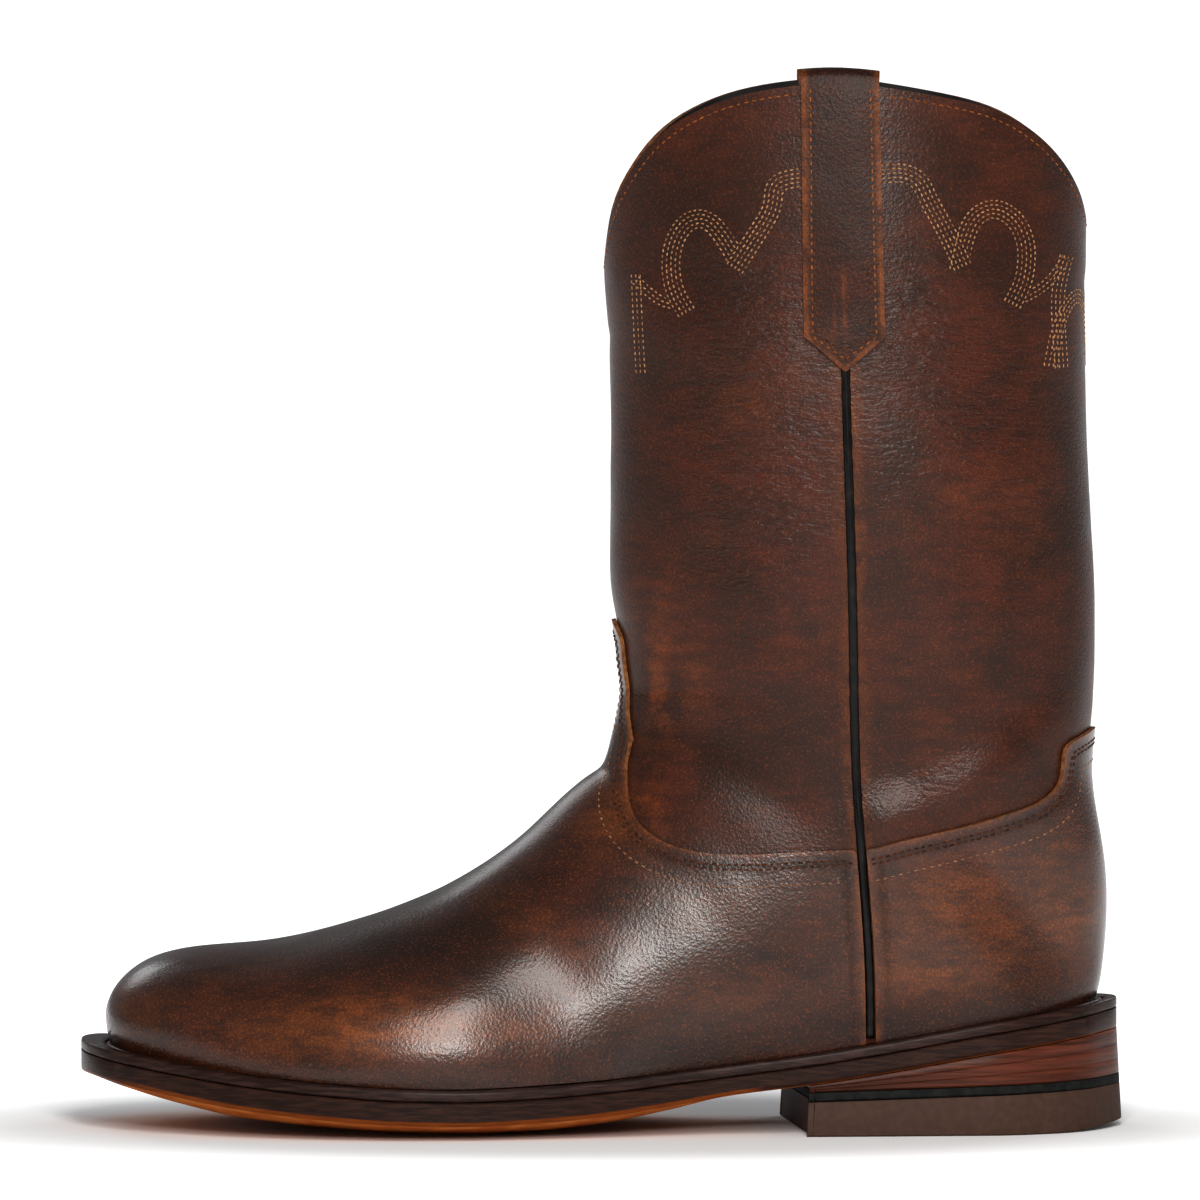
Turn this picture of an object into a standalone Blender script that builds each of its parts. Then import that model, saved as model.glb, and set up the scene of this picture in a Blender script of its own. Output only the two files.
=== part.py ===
"""A left roper boot in metres, built from its sole up.

The toe points to -X, the outer side of the foot lies at -Y and up is +Z. The origin is the
middle of the heel's flat tread, on the floor.
"""

import math
from collections import namedtuple

import bmesh
import bpy
from mathutils import Vector
from mathutils.bvhtree import BVHTree

# Clearance between pieces that touch
FIT_GAP = 0.0003

# Sole
SOLE_LENGTH = 0.3064
BALL_WIDTH = 0.110
SOLE_SWING = 0.007
TREAD_EDGE_LIFT = 0.0044
TOE_SPRING = 0.0131
HEEL_RISE = 0.0250
TREAD_CROWN = 0.0049
OUTSOLE_THICKNESS = 0.0070
WELT_THICKNESS = 0.0030
WELT_LAP = 0.0035
INSOLE_THICKNESS = 0.0030
INSOLE_CLEARANCE = 0.0030

# Heel
HEEL_LENGTH = 0.0934
HEEL_LIFT_LENGTH = 0.0240
HEEL_LIFT_HEIGHT = 0.0022
BREAST_SLANT = 0.0085
BREAST_RAKE = 0.0015
HEEL_FLARE = 0.0016
TOP_LIFT_FRONT = 0.0100
TOP_LIFT_REAR = 0.0128
RUBBER_LAYER_THICKNESS = 0.0025

# Upper: its wall, the ledge of welt around it, and its heights and widths
WALL_THICKNESS = 0.0022
TOE_LEDGE = 0.0094
SIDE_LEDGE = 0.0067
HEEL_LEDGE = 0.0060
INSTEP_HEIGHT = 0.0897
BOOT_HEIGHT = 0.3095
SHAFT_DEPTH = 0.1420
SHAFT_WIDTH = 0.0880
SHAFT_SETBACK = 0.0098
COLLAR_FRONT_DIP = 0.0615
COLLAR_BACK_DIP = 0.0450

# Vamp and counter, laid over the upper, and the trim on its side seams
OVERLAY_THICKNESS = 0.0014
PIPING_WIDTH = 0.0026
PIPING_HEIGHT = 0.0016
STRAP_TOP_WIDTH = 0.0224
STRAP_FOOT_WIDTH = 0.0235
STRAP_THICKNESS = 0.0022
STRAP_DROP = 0.0845
STRAP_POINT = 0.0100
STRAP_INSIDE = 0.0450
STRAP_LOOP = 0.0003

# Fineness of the meshes
FOOT_STEP = 0.0125
SHAFT_STEP = 0.0200
TRIM_STEP = 0.0140
SIDE_COLUMNS = 14
SOLE_STEPS = 34
HEEL_STEPS = 10
COLLAR_RINGS = 5
END_TURN = 0.03

# The heel's flat tread is centred on the origin
REAR_X = (HEEL_LENGTH - HEEL_LIFT_LENGTH) / 2 + HEEL_LIFT_LENGTH
BREAST_X = REAR_X - HEEL_LENGTH
SHAFT_BACK_X = REAR_X - SHAFT_SETBACK
SHAFT_FRONT_X = SHAFT_BACK_X - SHAFT_DEPTH

# The sole from its rear (station 0) to its toe tip (station 1). Half widths are shares of half
# the ball width, swing of the sole's swing, and the rest of the sizes that they are named for.
SoleRow = namedtuple("SoleRow", "station half_width swing toe_rise heel_rise thickness crown")
SOLE_SECTIONS = [SoleRow(*row) for row in (
    (0.000, 0.000, 0.57, 0.000, 1.000, 0.80, 0.00),
    (0.010, 0.210, 0.57, 0.000, 0.985, 0.80, 0.00),
    (0.034, 0.420, 0.50, 0.000, 0.945, 0.80, 0.00),
    (0.073, 0.565, 0.40, 0.000, 0.875, 0.80, 0.00),
    (0.125, 0.643, 0.25, 0.000, 0.780, 0.80, 0.00),
    (0.236, 0.645, -0.15, 0.000, 0.545, 0.79, 0.00),
    (0.302, 0.636, -0.40, 0.000, 0.424, 0.78, 0.00),
    (0.367, 0.655, -0.50, 0.000, 0.330, 0.76, 0.20),
    (0.432, 0.710, -0.50, 0.000, 0.200, 0.88, 0.60),
    (0.497, 0.800, -0.42, 0.000, 0.090, 0.96, 0.85),
    (0.563, 0.900, -0.25, 0.000, 0.028, 1.00, 1.00),
    (0.628, 0.973, -0.12, 0.000, 0.000, 1.00, 1.00),
    (0.693, 1.000, -0.05, 0.035, 0.000, 1.00, 1.00),
    (0.759, 0.982, 0.05, 0.135, 0.000, 1.00, 1.00),
    (0.840, 0.900, 0.30, 0.330, 0.000, 0.97, 1.00),
    (0.905, 0.764, 0.60, 0.565, 0.000, 0.90, 0.80),
    (0.954, 0.600, 0.82, 0.770, 0.000, 0.82, 0.50),
    (0.987, 0.364, 0.95, 0.935, 0.000, 0.74, 0.30),
    (1.000, 0.000, 1.00, 1.000, 0.000, 0.72, 0.20),
)]

# Arches of the upper over the foot: each stands on the sole at its base station and leans to a
# ridge point, whose rise is a share of the instep height and whose station is along the sole.
# Bow is how much more upright a leaning arch starts, as a share of its rise.
FootRow = namedtuple("FootRow", "station ridge_station ridge_rise half_width fullness lean bow")
FOOT_SECTIONS = [FootRow(*row) for row in (
    (0.000, 0.4752, 1.000, 0.618, 2.15, 0.05, 1.40),
    (0.020, 0.4763, 0.977, 0.616, 2.15, 0.07, 1.35),
    (0.070, 0.4785, 0.952, 0.609, 2.15, 0.10, 1.20),
    (0.180, 0.4840, 0.928, 0.600, 2.15, 0.20, 0.80),
    (0.300, 0.4928, 0.906, 0.600, 2.10, 0.30, 0.35),
    (0.370, 0.5082, 0.900, 0.618, 2.05, 0.40, 0.15),
    (0.440, 0.5333, 0.856, 0.655, 2.00, 0.50, 0.00),
    (0.520, 0.5740, 0.747, 0.718, 2.00, 0.65, 0.00),
    (0.620, 0.6459, 0.596, 0.873, 1.95, 0.80, 0.00),
    (0.700, 0.7242, 0.493, 0.900, 2.00, 0.85, 0.00),
    (0.800, 0.8221, 0.382, 0.833, 2.10, 0.90, 0.00),
    (0.860, 0.8793, 0.354, 0.745, 2.20, 0.90, 0.00),
    (0.905, 0.9217, 0.311, 0.636, 2.30, 0.95, 0.00),
    (0.945, 0.9484, 0.244, 0.524, 2.30, 0.95, 0.00),
    (0.972, 0.9647, 0.174, 0.385, 2.30, 0.98, 0.00),
    (0.990, 0.9713, 0.106, 0.209, 2.30, 1.00, 0.00),
)]

# Rings of the ankle and shaft, above the heel seat. Rises are shares of the height from the
# heel seat to the top of the collar, the rest of the shaft's depth and half width.
ShaftRow = namedtuple("ShaftRow", "front_rise front_in back_rise back_out half_width")
SHAFT_SECTIONS = [ShaftRow(*row) for row in (
    (0.342, 0.044, 0.036, 0.033, 0.784),
    (0.357, 0.039, 0.087, 0.040, 0.795),
    (0.373, 0.035, 0.139, 0.037, 0.818),
    (0.390, 0.032, 0.191, 0.021, 0.841),
    (0.410, 0.028, 0.240, 0.002, 0.875),
    (0.449, 0.011, 0.309, 0.019, 0.920),
    (0.508, 0.013, 0.412, 0.025, 0.955),
    (0.618, 0.014, 0.596, 0.006, 0.986),
    (0.718, 0.010, 0.718, 0.001, 1.000),
    (0.810, -0.003, 0.810, 0.003, 1.000),
    (1.000, -0.004, 1.000, -0.001, 0.990),
)]
RIM_RISE = 0.718
SHAFT_FULLNESS = 2.15

# The collar's dips, by depth from the shaft's front, as shares of the front or back dip
CollarRow = namedtuple("CollarRow", "depth drop")
COLLAR_FRONT = [CollarRow(*row) for row in (
    (0.000, 1.000), (0.007, 0.720), (0.032, 0.560), (0.061, 0.420), (0.102, 0.285),
    (0.141, 0.210), (0.188, 0.145), (0.248, 0.085), (0.339, 0.036), (0.490, 0.000),
)]
COLLAR_BACK = [CollarRow(*row) for row in (
    (0.490, 0.000), (0.575, 0.033), (0.645, 0.078), (0.706, 0.110), (0.784, 0.150),
    (0.828, 0.210), (0.875, 0.293), (0.906, 0.378), (0.936, 0.478), (0.966, 0.620),
    (0.982, 0.722), (1.000, 1.000),
)]

# Seams in the side view. The side seam's height is a share of the boot's height, the other
# heights of the instep height above the heel seat, and back is a share of the shaft's depth
# forward of its back.
SeamRow = namedtuple("SeamRow", "height back")
SIDE_SEAM = [SeamRow(*row) for row in (
    (0.000, 0.447), (0.100, 0.448), (0.168, 0.451), (0.239, 0.462), (0.349, 0.481),
    (0.523, 0.487), (0.727, 0.504), (1.000, 0.514),
)]
VAMP_SEAM = [SeamRow(*row) for row in (
    (0.849, 0.938), (0.807, 0.944), (0.786, 0.948), (0.716, 0.950), (0.657, 0.946),
    (0.604, 0.934), (0.564, 0.913), (0.524, 0.875), (0.498, 0.818), (0.489, 0.761),
    (0.489, 0.685), (0.498, 0.610), (0.506, 0.500),
)]
COUNTER_SEAM = [SeamRow(*row) for row in (
    (0.512, 0.440), (0.537, 0.387), (0.561, 0.314), (0.588, 0.239), (0.621, 0.166),
    (0.648, 0.111), (0.676, 0.082), (0.705, 0.063), (0.748, 0.054), (0.831, 0.052),
    (0.857, 0.030), (0.872, 0.004), (0.894, -0.017), (0.900, -0.120),
)]

# The vamp's tongue in the front view, in shares of the instep height and half the shaft width
TongueRow = namedtuple("TongueRow", "height half_width")
TONGUE = [TongueRow(*row) for row in (
    (0.849, 0.300), (0.889, 0.262), (0.933, 0.225), (0.989, 0.190), (1.045, 0.175),
    (1.111, 0.190), (1.167, 0.205), (1.200, 0.180), (1.229, 0.100), (1.245, 0.010),
)]

Section = namedtuple("Section", "base ridge seat_width half_width fullness bow")


def curve_slope(points, index):
    """Slope of the smooth curve at one of its points, held so that it can't overshoot."""
    secants = []
    for first in (index - 1, index):
        if 0 <= first < len(points) - 1:
            start, end = points[first], points[first + 1]
            secants.append((end[1] - start[1]) / (end[0] - start[0]))
    if len(secants) == 1:
        return secants[0]
    if secants[0] * secants[1] <= 0:
        return 0.0
    return 2 * secants[0] * secants[1] / (secants[0] + secants[1])


def curve_value(points, at):
    """Value at one position of a smooth curve through (position, value) points."""
    if at <= points[0][0]:
        return points[0][1]
    if at >= points[-1][0]:
        return points[-1][1]
    index = max(i for i in range(len(points) - 1) if points[i][0] <= at)
    start, end = points[index], points[index + 1]
    width = end[0] - start[0]
    share = (at - start[0]) / width
    rise = curve_slope(points, index) * width
    run = curve_slope(points, index + 1) * width
    step = end[1] - start[1]
    bend = share * (1 - share)
    return start[1] + step * share * share * (3 - 2 * share) + bend * (rise * (1 - share) - run * share)


def turn_of(station):
    """Angle round the outline of a station, which spreads the rounded ends evenly."""
    return math.acos(1 - 2 * min(max(station, 0.0), 1.0))


def sole_share(turn, column):
    """One column of the sole's table at an angle round its outline."""
    return curve_value([(turn_of(row.station), getattr(row, column)) for row in SOLE_SECTIONS], turn)


def turn_at(x):
    """Angle round the outline that belongs to a position along the sole."""
    return turn_of((REAR_X - x) / SOLE_LENGTH)


def centre_y(x):
    """Centre line of the sole, which swings towards the inner side at the toe."""
    return SOLE_SWING * sole_share(turn_at(x), "swing")


def tread_edge(x):
    """Height of the outsole's lower edge."""
    turn = turn_at(x)
    lift = TOE_SPRING * sole_share(turn, "toe_rise") + HEEL_RISE * sole_share(turn, "heel_rise")
    return TREAD_EDGE_LIFT + lift


def outsole_top(x):
    return tread_edge(x) + OUTSOLE_THICKNESS * sole_share(turn_at(x), "thickness")


def welt_top(x):
    return outsole_top(x) + FIT_GAP + WELT_THICKNESS


def upper_seat(x):
    """Height at which the upper, the vamp and the counter stand on the welt."""
    return welt_top(x) + FIT_GAP


def plain_outline(turn):
    """Position along the sole and half width of its outline."""
    x = REAR_X - SOLE_LENGTH * (1 - math.cos(turn)) / 2
    return Vector((x, BALL_WIDTH / 2 * sole_share(turn, "half_width")))


def sole_outline(turn, inset):
    """The sole's outline set in by an even distance."""
    nudge = 0.01
    along = plain_outline(turn + nudge) - plain_outline(turn - nudge)
    outward = Vector((along.y, -along.x)).normalized()
    point = plain_outline(turn) - outward * inset
    return point.x, max(point.y, 0.0)


def ledge(turn):
    """Width of welt that shows outside the upper's own wall."""
    toe = max(0.0, -math.cos(turn)) ** 6
    heel = max(0.0, math.cos(turn)) ** 6
    return SIDE_LEDGE + (TOE_LEDGE - SIDE_LEDGE) * toe + (HEEL_LEDGE - SIDE_LEDGE) * heel


def heel_seat():
    return upper_seat(REAR_X)


def foot_section(turn):
    """An arch of the foot, leaning from its base on the welt to its ridge."""
    def share(column):
        return curve_value([(turn_of(row.station), getattr(row, column)) for row in FOOT_SECTIONS], turn)

    x, seat_width = sole_outline(turn, ledge(turn))
    base = Vector((x, centre_y(x), upper_seat(x)))
    ridge_x = REAR_X - SOLE_LENGTH * share("ridge_station")
    ridge = Vector((ridge_x, SOLE_SWING * share("lean"), base.z + INSTEP_HEIGHT * share("ridge_rise")))
    half_width = max(BALL_WIDTH / 2 * share("half_width"), seat_width * 1.01)
    return Section(base, ridge, seat_width, half_width, share("fullness"), share("bow"))


def shaft_rows():
    """Rings of the shaft as lengths, from the heel's own section up."""
    heel = foot_section(0.0)
    rise = BOOT_HEIGHT - heel_seat()
    rows = [(heel.ridge.z, heel.base, heel.ridge, heel.half_width)]
    for row in SHAFT_SECTIONS:
        level = min(row.back_rise, RIM_RISE) / RIM_RISE
        back_y = heel.base.y * (1 - level) ** 2
        back = Vector((SHAFT_BACK_X + SHAFT_DEPTH * row.back_out, back_y, heel_seat() + rise * row.back_rise))
        front = Vector((SHAFT_FRONT_X + SHAFT_DEPTH * row.front_in, 0.0, heel_seat() + rise * row.front_rise))
        rows.append((front.z, back, front, SHAFT_WIDTH / 2 * row.half_width))
    return rows


def shaft_section(rows, height):
    """The shaft's ring whose front lies at one height."""
    def blend(value):
        return curve_value([(row[0], value(row)) for row in rows], height)

    base = Vector([blend(lambda row, axis=axis: row[1][axis]) for axis in range(3)])
    ridge = Vector([blend(lambda row, axis=axis: row[2][axis]) for axis in range(3)])
    return Section(base, ridge, 0.0, blend(lambda row: row[3]), SHAFT_FULLNESS, FOOT_SECTIONS[0].bow)


def collar_height(depth):
    """Height of the collar at a depth behind the shaft's front, the depth as a share."""
    front = depth <= COLLAR_BACK[0].depth
    rows = COLLAR_FRONT if front else COLLAR_BACK
    dip = COLLAR_FRONT_DIP if front else COLLAR_BACK_DIP
    drop = curve_value([(turn_of(row.depth), row.drop) for row in rows], turn_of(depth))
    return BOOT_HEIGHT - dip * drop


def section_start(section):
    """Angle on the section's full ring at which its open foot is cut off."""
    fill = min(section.seat_width / section.half_width, 1.0) ** section.fullness
    return math.acos((1 - fill) ** (1 / section.fullness))


def section_point(section, column):
    """Point of a section at one column, from the outer side's foot over the ridge to the inner's."""
    side = -1 if column <= SIDE_COLUMNS else 1
    share = 1 - abs(column - SIDE_COLUMNS) / SIDE_COLUMNS
    start = section_start(section)
    turn = start + (math.pi - start) * share
    foot = (1 - math.cos(start)) / 2
    along = ((1 - math.cos(turn)) / 2 - foot) / (1 - foot)
    point = section.base.lerp(section.ridge, along)
    point.z += section.bow * (section.ridge.z - section.base.z) * along * (1 - along)
    spread = max(0.0, 1 - abs(math.cos(turn)) ** section.fullness) ** (1 / section.fullness)
    point.y += side * section.half_width * spread
    return point


def steps_between(first, last, step):
    reach = max((last.base - first.base).length, (last.ridge - first.ridge).length)
    return max(1, round(reach / step))


def sheet_rows():
    """Rows of points of the upper's outer face, from the toe tip to the collar."""
    columns = range(2 * SIDE_COLUMNS + 1)
    tip_x, tip_width = sole_outline(math.pi, ledge(math.pi))
    tip = Vector((tip_x, centre_y(tip_x) + tip_width, upper_seat(tip_x)))
    sections = []
    turns = [turn_of(row.station) for row in reversed(FOOT_SECTIONS)]
    for first, last in zip(turns, turns[1:]):
        count = steps_between(foot_section(first), foot_section(last), FOOT_STEP)
        sections += [foot_section(first + (last - first) * step / count) for step in range(count)]
    rows = shaft_rows()
    rim_height = heel_seat() + (BOOT_HEIGHT - heel_seat()) * RIM_RISE
    heights = [row[0] for row in rows if row[0] <= rim_height + FIT_GAP]
    for first, last in zip(heights, heights[1:]):
        count = steps_between(shaft_section(rows, first), shaft_section(rows, last), SHAFT_STEP)
        sections += [shaft_section(rows, first + (last - first) * step / count) for step in range(count)]
    points = [[tip for column in columns]]
    points += [[section_point(section, column) for column in columns] for section in sections]
    rim = shaft_section(rows, rim_height)
    for ring in range(COLLAR_RINGS + 1):
        row = []
        for column in columns:
            depth = (section_point(rim, column).x - rim.ridge.x) / (rim.base.x - rim.ridge.x)
            height = rim_height + (collar_height(depth) - rim_height) * ring / COLLAR_RINGS
            row.append(section_point(shaft_section(rows, height), column))
        points.append(row)
    return points


def empty_mesh_object(name, collection):
    item = bpy.data.objects.new(name, bpy.data.meshes.new(name))
    collection.objects.link(item)
    return item


def paint(item, colour, roughness):
    material = bpy.data.materials.new(item.name)
    material.use_nodes = True
    shader = material.node_tree.nodes["Principled BSDF"]
    shader.inputs["Base Color"].default_value = (*colour, 1.0)
    shader.inputs["Roughness"].default_value = roughness
    shader.inputs["Metallic"].default_value = 0.0
    item.data.materials.append(material)


def sheet_mesh():
    """The upper's outer face as one open sheet, closed up its back and at the toe tip."""
    shape = bmesh.new()
    grid = [[shape.verts.new(point) for point in row] for row in sheet_rows()]
    for lower, upper in zip(grid, grid[1:]):
        for column in range(2 * SIDE_COLUMNS):
            shape.faces.new((lower[column], upper[column], upper[column + 1], lower[column + 1]))
    bmesh.ops.remove_doubles(shape, verts=shape.verts, dist=FIT_GAP / 30)
    bmesh.ops.triangulate(shape, faces=shape.faces)
    mesh = bpy.data.meshes.new("upper sheet")
    shape.to_mesh(mesh)
    shape.free()
    return mesh


def shell(name, sheet, gap, thickness, side, collection):
    """A wall on one side of the sheet, its lower edge level with the welt's top."""
    shape = bmesh.new()
    shape.from_mesh(sheet)
    shape.normal_update()
    shifts = [(vertex, vertex.normal * gap * vertex.calc_shell_factor()) for vertex in shape.verts]
    for vertex, shift in shifts:
        vertex.co += shift
    item = empty_mesh_object(name, collection)
    shape.to_mesh(item.data)
    shape.free()
    solidify = item.modifiers.new("Wall", "SOLIDIFY")
    solidify.thickness = thickness
    solidify.offset = side
    graph = bpy.context.evaluated_depsgraph_get()
    thick = bpy.data.meshes.new_from_object(item.evaluated_get(graph))
    item.modifiers.clear()
    item.data = thick
    for vertex in thick.vertices:
        vertex.co.z = max(vertex.co.z, upper_seat(vertex.co.x))
    thick.shade_smooth()
    thick.set_sharp_from_angle(angle=math.radians(40))
    return item


def loft(name, rings, collection):
    """A closed solid through rings of as many points each."""
    item = empty_mesh_object(name, collection)
    shape = bmesh.new()
    loops = [[shape.verts.new(point) for point in ring] for ring in rings]
    count = len(rings[0])
    for first, last in zip(loops, loops[1:]):
        for index in range(count):
            after = (index + 1) % count
            shape.faces.new((first[index], first[after], last[after], last[index]))
    shape.faces.new(loops[0])
    shape.faces.new(loops[-1])
    bmesh.ops.recalc_face_normals(shape, faces=shape.faces)
    shape.to_mesh(item.data)
    shape.free()
    item.data.shade_smooth()
    item.data.set_sharp_from_angle(angle=math.radians(30))
    return item


def sole_turns():
    return [END_TURN + (math.pi - 2 * END_TURN) * step / SOLE_STEPS for step in range(SOLE_STEPS + 1)]


def make_outsole(collection):
    """The outsole, crowned below and flat where it stands."""
    shares = (-1.0, -0.8, -0.55, -0.3, 0.0, 0.3, 0.55, 0.8, 1.0)
    flat_share = 0.3
    rings = []
    for turn in sole_turns():
        x, half_width = sole_outline(turn, 0.0)
        centre = centre_y(x)
        crown = TREAD_CROWN * sole_share(turn, "crown")
        ring = []
        for share in shares:
            rounding = min(max((abs(share) - flat_share) / (1 - flat_share), 0.0), 1.0)
            depth = crown * math.cos(rounding * math.pi / 2)
            ring.append(Vector((x, centre + half_width * share, max(tread_edge(x) - depth, 0.0))))
        ring.append(Vector((x, centre + half_width, outsole_top(x))))
        ring.append(Vector((x, centre - half_width, outsole_top(x))))
        rings.append(ring)
    outsole = loft("outsole", rings, collection)
    paint(outsole, (0.055, 0.030, 0.022), 0.5)


def make_welt(collection):
    """The welt, a strip all round the top of the outsole that reaches in under the upper."""
    around = [(turn, -1) for turn in sole_turns()] + [(turn, 1) for turn in reversed(sole_turns())]
    rings = []
    for turn, side in around:
        ring = []
        for inset, height in ((0.0, outsole_top), (0.0, welt_top), (1.0, welt_top), (1.0, outsole_top)):
            reach = (ledge(turn) + WALL_THICKNESS + WELT_LAP) * inset
            x, half_width = sole_outline(turn, reach)
            seat = FIT_GAP if height is outsole_top else 0.0
            ring.append(Vector((x, centre_y(x) + side * half_width, height(x) + seat)))
        rings.append(ring)
    item = empty_mesh_object("welt", collection)
    shape = bmesh.new()
    loops = [[shape.verts.new(point) for point in ring] for ring in rings]
    for first, last in zip(loops, loops[1:] + loops[:1]):
        for index in range(4):
            after = (index + 1) % 4
            shape.faces.new((first[index], first[after], last[after], last[index]))
    bmesh.ops.recalc_face_normals(shape, faces=shape.faces)
    shape.to_mesh(item.data)
    shape.free()
    item.data.shade_smooth()
    item.data.set_sharp_from_angle(angle=math.radians(30))
    paint(item, (0.050, 0.028, 0.022), 0.5)


def make_insole(collection):
    """The insole: it fills the welt's opening and spreads over the welt to the upper's wall."""
    rings = []
    for turn in sole_turns():
        x, foot_width = sole_outline(turn, ledge(turn) + WALL_THICKNESS + WELT_LAP + FIT_GAP)
        centre = centre_y(x)
        flange = sole_outline(turn, ledge(turn) + WALL_THICKNESS + INSOLE_CLEARANCE)[1]
        flange = max(foot_width, flange)
        step = welt_top(x) + FIT_GAP
        levels = (
            (foot_width, outsole_top(x) + FIT_GAP),
            (foot_width, step),
            (flange, step),
            (flange, step + INSOLE_THICKNESS),
        )
        ring = [Vector((x, centre + width, height)) for width, height in levels]
        ring += [Vector((x, centre - width, height)) for width, height in reversed(levels)]
        rings.append(ring)
    insole = loft("insole", rings, collection)
    paint(insole, (0.30, 0.19, 0.11), 0.7)


def heel_tread(x):
    """The heel's underside: flat, then lifted a little towards its rear edge."""
    past = max(0.0, x - (REAR_X - HEEL_LIFT_LENGTH)) / HEEL_LIFT_LENGTH
    return HEEL_LIFT_HEIGHT * past * past


def lift_top(x):
    share = (x - BREAST_X) / HEEL_LENGTH
    return TOP_LIFT_FRONT + (TOP_LIFT_REAR - TOP_LIFT_FRONT) * share


def rubber_bottom(x):
    return lift_top(x) + FIT_GAP


def rubber_top(x):
    return rubber_bottom(x) + RUBBER_LAYER_THICKNESS


def stack_bottom(x):
    return rubber_top(x) + FIT_GAP


def stack_top(x):
    return tread_edge(x) - FIT_GAP


def heel_point(turn, across, height):
    """A point of the heel: behind its slanted breast it follows the sole's outline."""
    x, half_width = sole_outline(turn, 0.0)
    y = centre_y(x) + half_width * across
    if turn == turn_at(BREAST_X):
        x -= BREAST_SLANT * across / 2
        y = centre_y(x) + half_width * across
    z = height(x)
    rearness = (x - BREAST_X) / HEEL_LENGTH
    drop = 1 - z / stack_top(REAR_X)
    x += drop * (HEEL_FLARE * rearness - BREAST_RAKE * (1 - rearness))
    return Vector((x, y, z))


def make_heel_layer(name, bottom, top, colour, roughness, collection):
    breast = turn_at(BREAST_X)
    turns = [breast + (END_TURN - breast) * step / HEEL_STEPS for step in range(HEEL_STEPS + 1)]
    shares = (-1.0, -0.5, 0.0, 0.5, 1.0)
    rings = []
    for turn in turns:
        ring = [heel_point(turn, share, bottom) for share in shares]
        ring += [heel_point(turn, share, top) for share in reversed(shares)]
        rings.append(ring)
    layer = loft(name, rings, collection)
    paint(layer, colour, roughness)


def seam_x(height):
    """Position of the side seam at a height above the floor."""
    back = curve_value([(row.height * BOOT_HEIGHT, row.back) for row in SIDE_SEAM], height)
    return SHAFT_BACK_X - SHAFT_DEPTH * back


def wall_y(tree, side, x, height):
    """Where the upper's outer face lies on one side, at a point of the side view."""
    start = Vector((x, side * SHAFT_DEPTH, height))
    hit = tree.ray_cast(start, Vector((0.0, -side, 0.0)))
    return hit[0].y


def make_piping(name, side, tree, collection):
    """A narrow welt of leather down the side seam, from the strap's point to the sole."""
    half = PIPING_WIDTH / 2
    profile = (
        (-half, FIT_GAP), (-half, PIPING_HEIGHT * 0.6), (-half * 0.5, FIT_GAP + PIPING_HEIGHT),
        (half * 0.5, FIT_GAP + PIPING_HEIGHT), (half, PIPING_HEIGHT * 0.6), (half, FIT_GAP),
    )
    top = BOOT_HEIGHT - STRAP_DROP - 2 * FIT_GAP
    bottom = upper_seat(seam_x(0.0))
    count = round((top - bottom) / TRIM_STEP)
    rings = []
    for step in range(count + 1):
        height = top + (bottom - top) * step / count
        x = seam_x(height)
        probe = max(height, bottom + 4 * FIT_GAP)
        ring = []
        for across, out in profile:
            y = wall_y(tree, side, x + across, probe) + side * out
            ring.append(Vector((x + across, y, max(height, upper_seat(x + across)))))
        rings.append(ring)
    piping = loft(name, rings, collection)
    paint(piping, (0.012, 0.011, 0.011), 0.4)


def strap_half_width(height):
    """Half width of the pull strap, which narrows to a point at its foot."""
    foot = BOOT_HEIGHT - STRAP_DROP
    share = min(max((BOOT_HEIGHT - height) / (STRAP_DROP - STRAP_POINT), 0.0), 1.0)
    half = (STRAP_TOP_WIDTH + (STRAP_FOOT_WIDTH - STRAP_TOP_WIDTH) * share) / 2
    point = min(max((height - foot) / STRAP_POINT, 0.0), 1.0)
    return FIT_GAP + (half - FIT_GAP) * point


def make_strap(name, side, tree, collection):
    """A pull strap, sewn down outside, looped over the collar and sewn down inside."""
    shares = (-1.0, -0.5, 0.0, 0.5, 1.0)
    near = WALL_THICKNESS / 2 + FIT_GAP
    far = near + STRAP_THICKNESS

    def collar_at(x):
        return collar_height((x - SHAFT_FRONT_X) / SHAFT_DEPTH)

    def flat_ring(height, half, outward):
        ring = []
        for reach, order in ((near, shares), (far, tuple(reversed(shares)))):
            for share in order:
                x = seam_x(height) + half * share
                middle = wall_y(tree, side, x, height) - side * WALL_THICKNESS / 2
                ring.append(Vector((x, middle + side * outward * reach, height)))
        return ring

    def loop_ring(turn):
        ring = []
        half = strap_half_width(BOOT_HEIGHT)
        for reach, order in ((near, shares), (far, tuple(reversed(shares)))):
            for share in order:
                x = seam_x(BOOT_HEIGHT) + half * share
                probe = collar_at(x) - WALL_THICKNESS
                middle = wall_y(tree, side, x, probe) - side * WALL_THICKNESS / 2
                height = collar_at(x) + STRAP_LOOP + reach * math.sin(turn)
                ring.append(Vector((x, middle + side * reach * math.cos(turn), height)))
        return ring

    foot = BOOT_HEIGHT - STRAP_DROP
    top = BOOT_HEIGHT - STRAP_TOP_WIDTH / 4
    heights = [foot, foot + STRAP_POINT]
    count = round((top - foot - STRAP_POINT) / TRIM_STEP)
    heights += [foot + STRAP_POINT + (top - foot - STRAP_POINT) * (step + 1) / count for step in range(count)]
    rings = [flat_ring(height, strap_half_width(height), 1) for height in heights]
    rings += [loop_ring(math.pi * step / 6) for step in range(7)]
    inside = [top - (STRAP_INSIDE - (BOOT_HEIGHT - top)) * step / 3 for step in range(4)]
    rings += [flat_ring(height, strap_half_width(height), -1) for height in inside]
    strap = loft(name, rings, collection)
    paint(strap, (0.075, 0.035, 0.024), 0.45)


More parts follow.
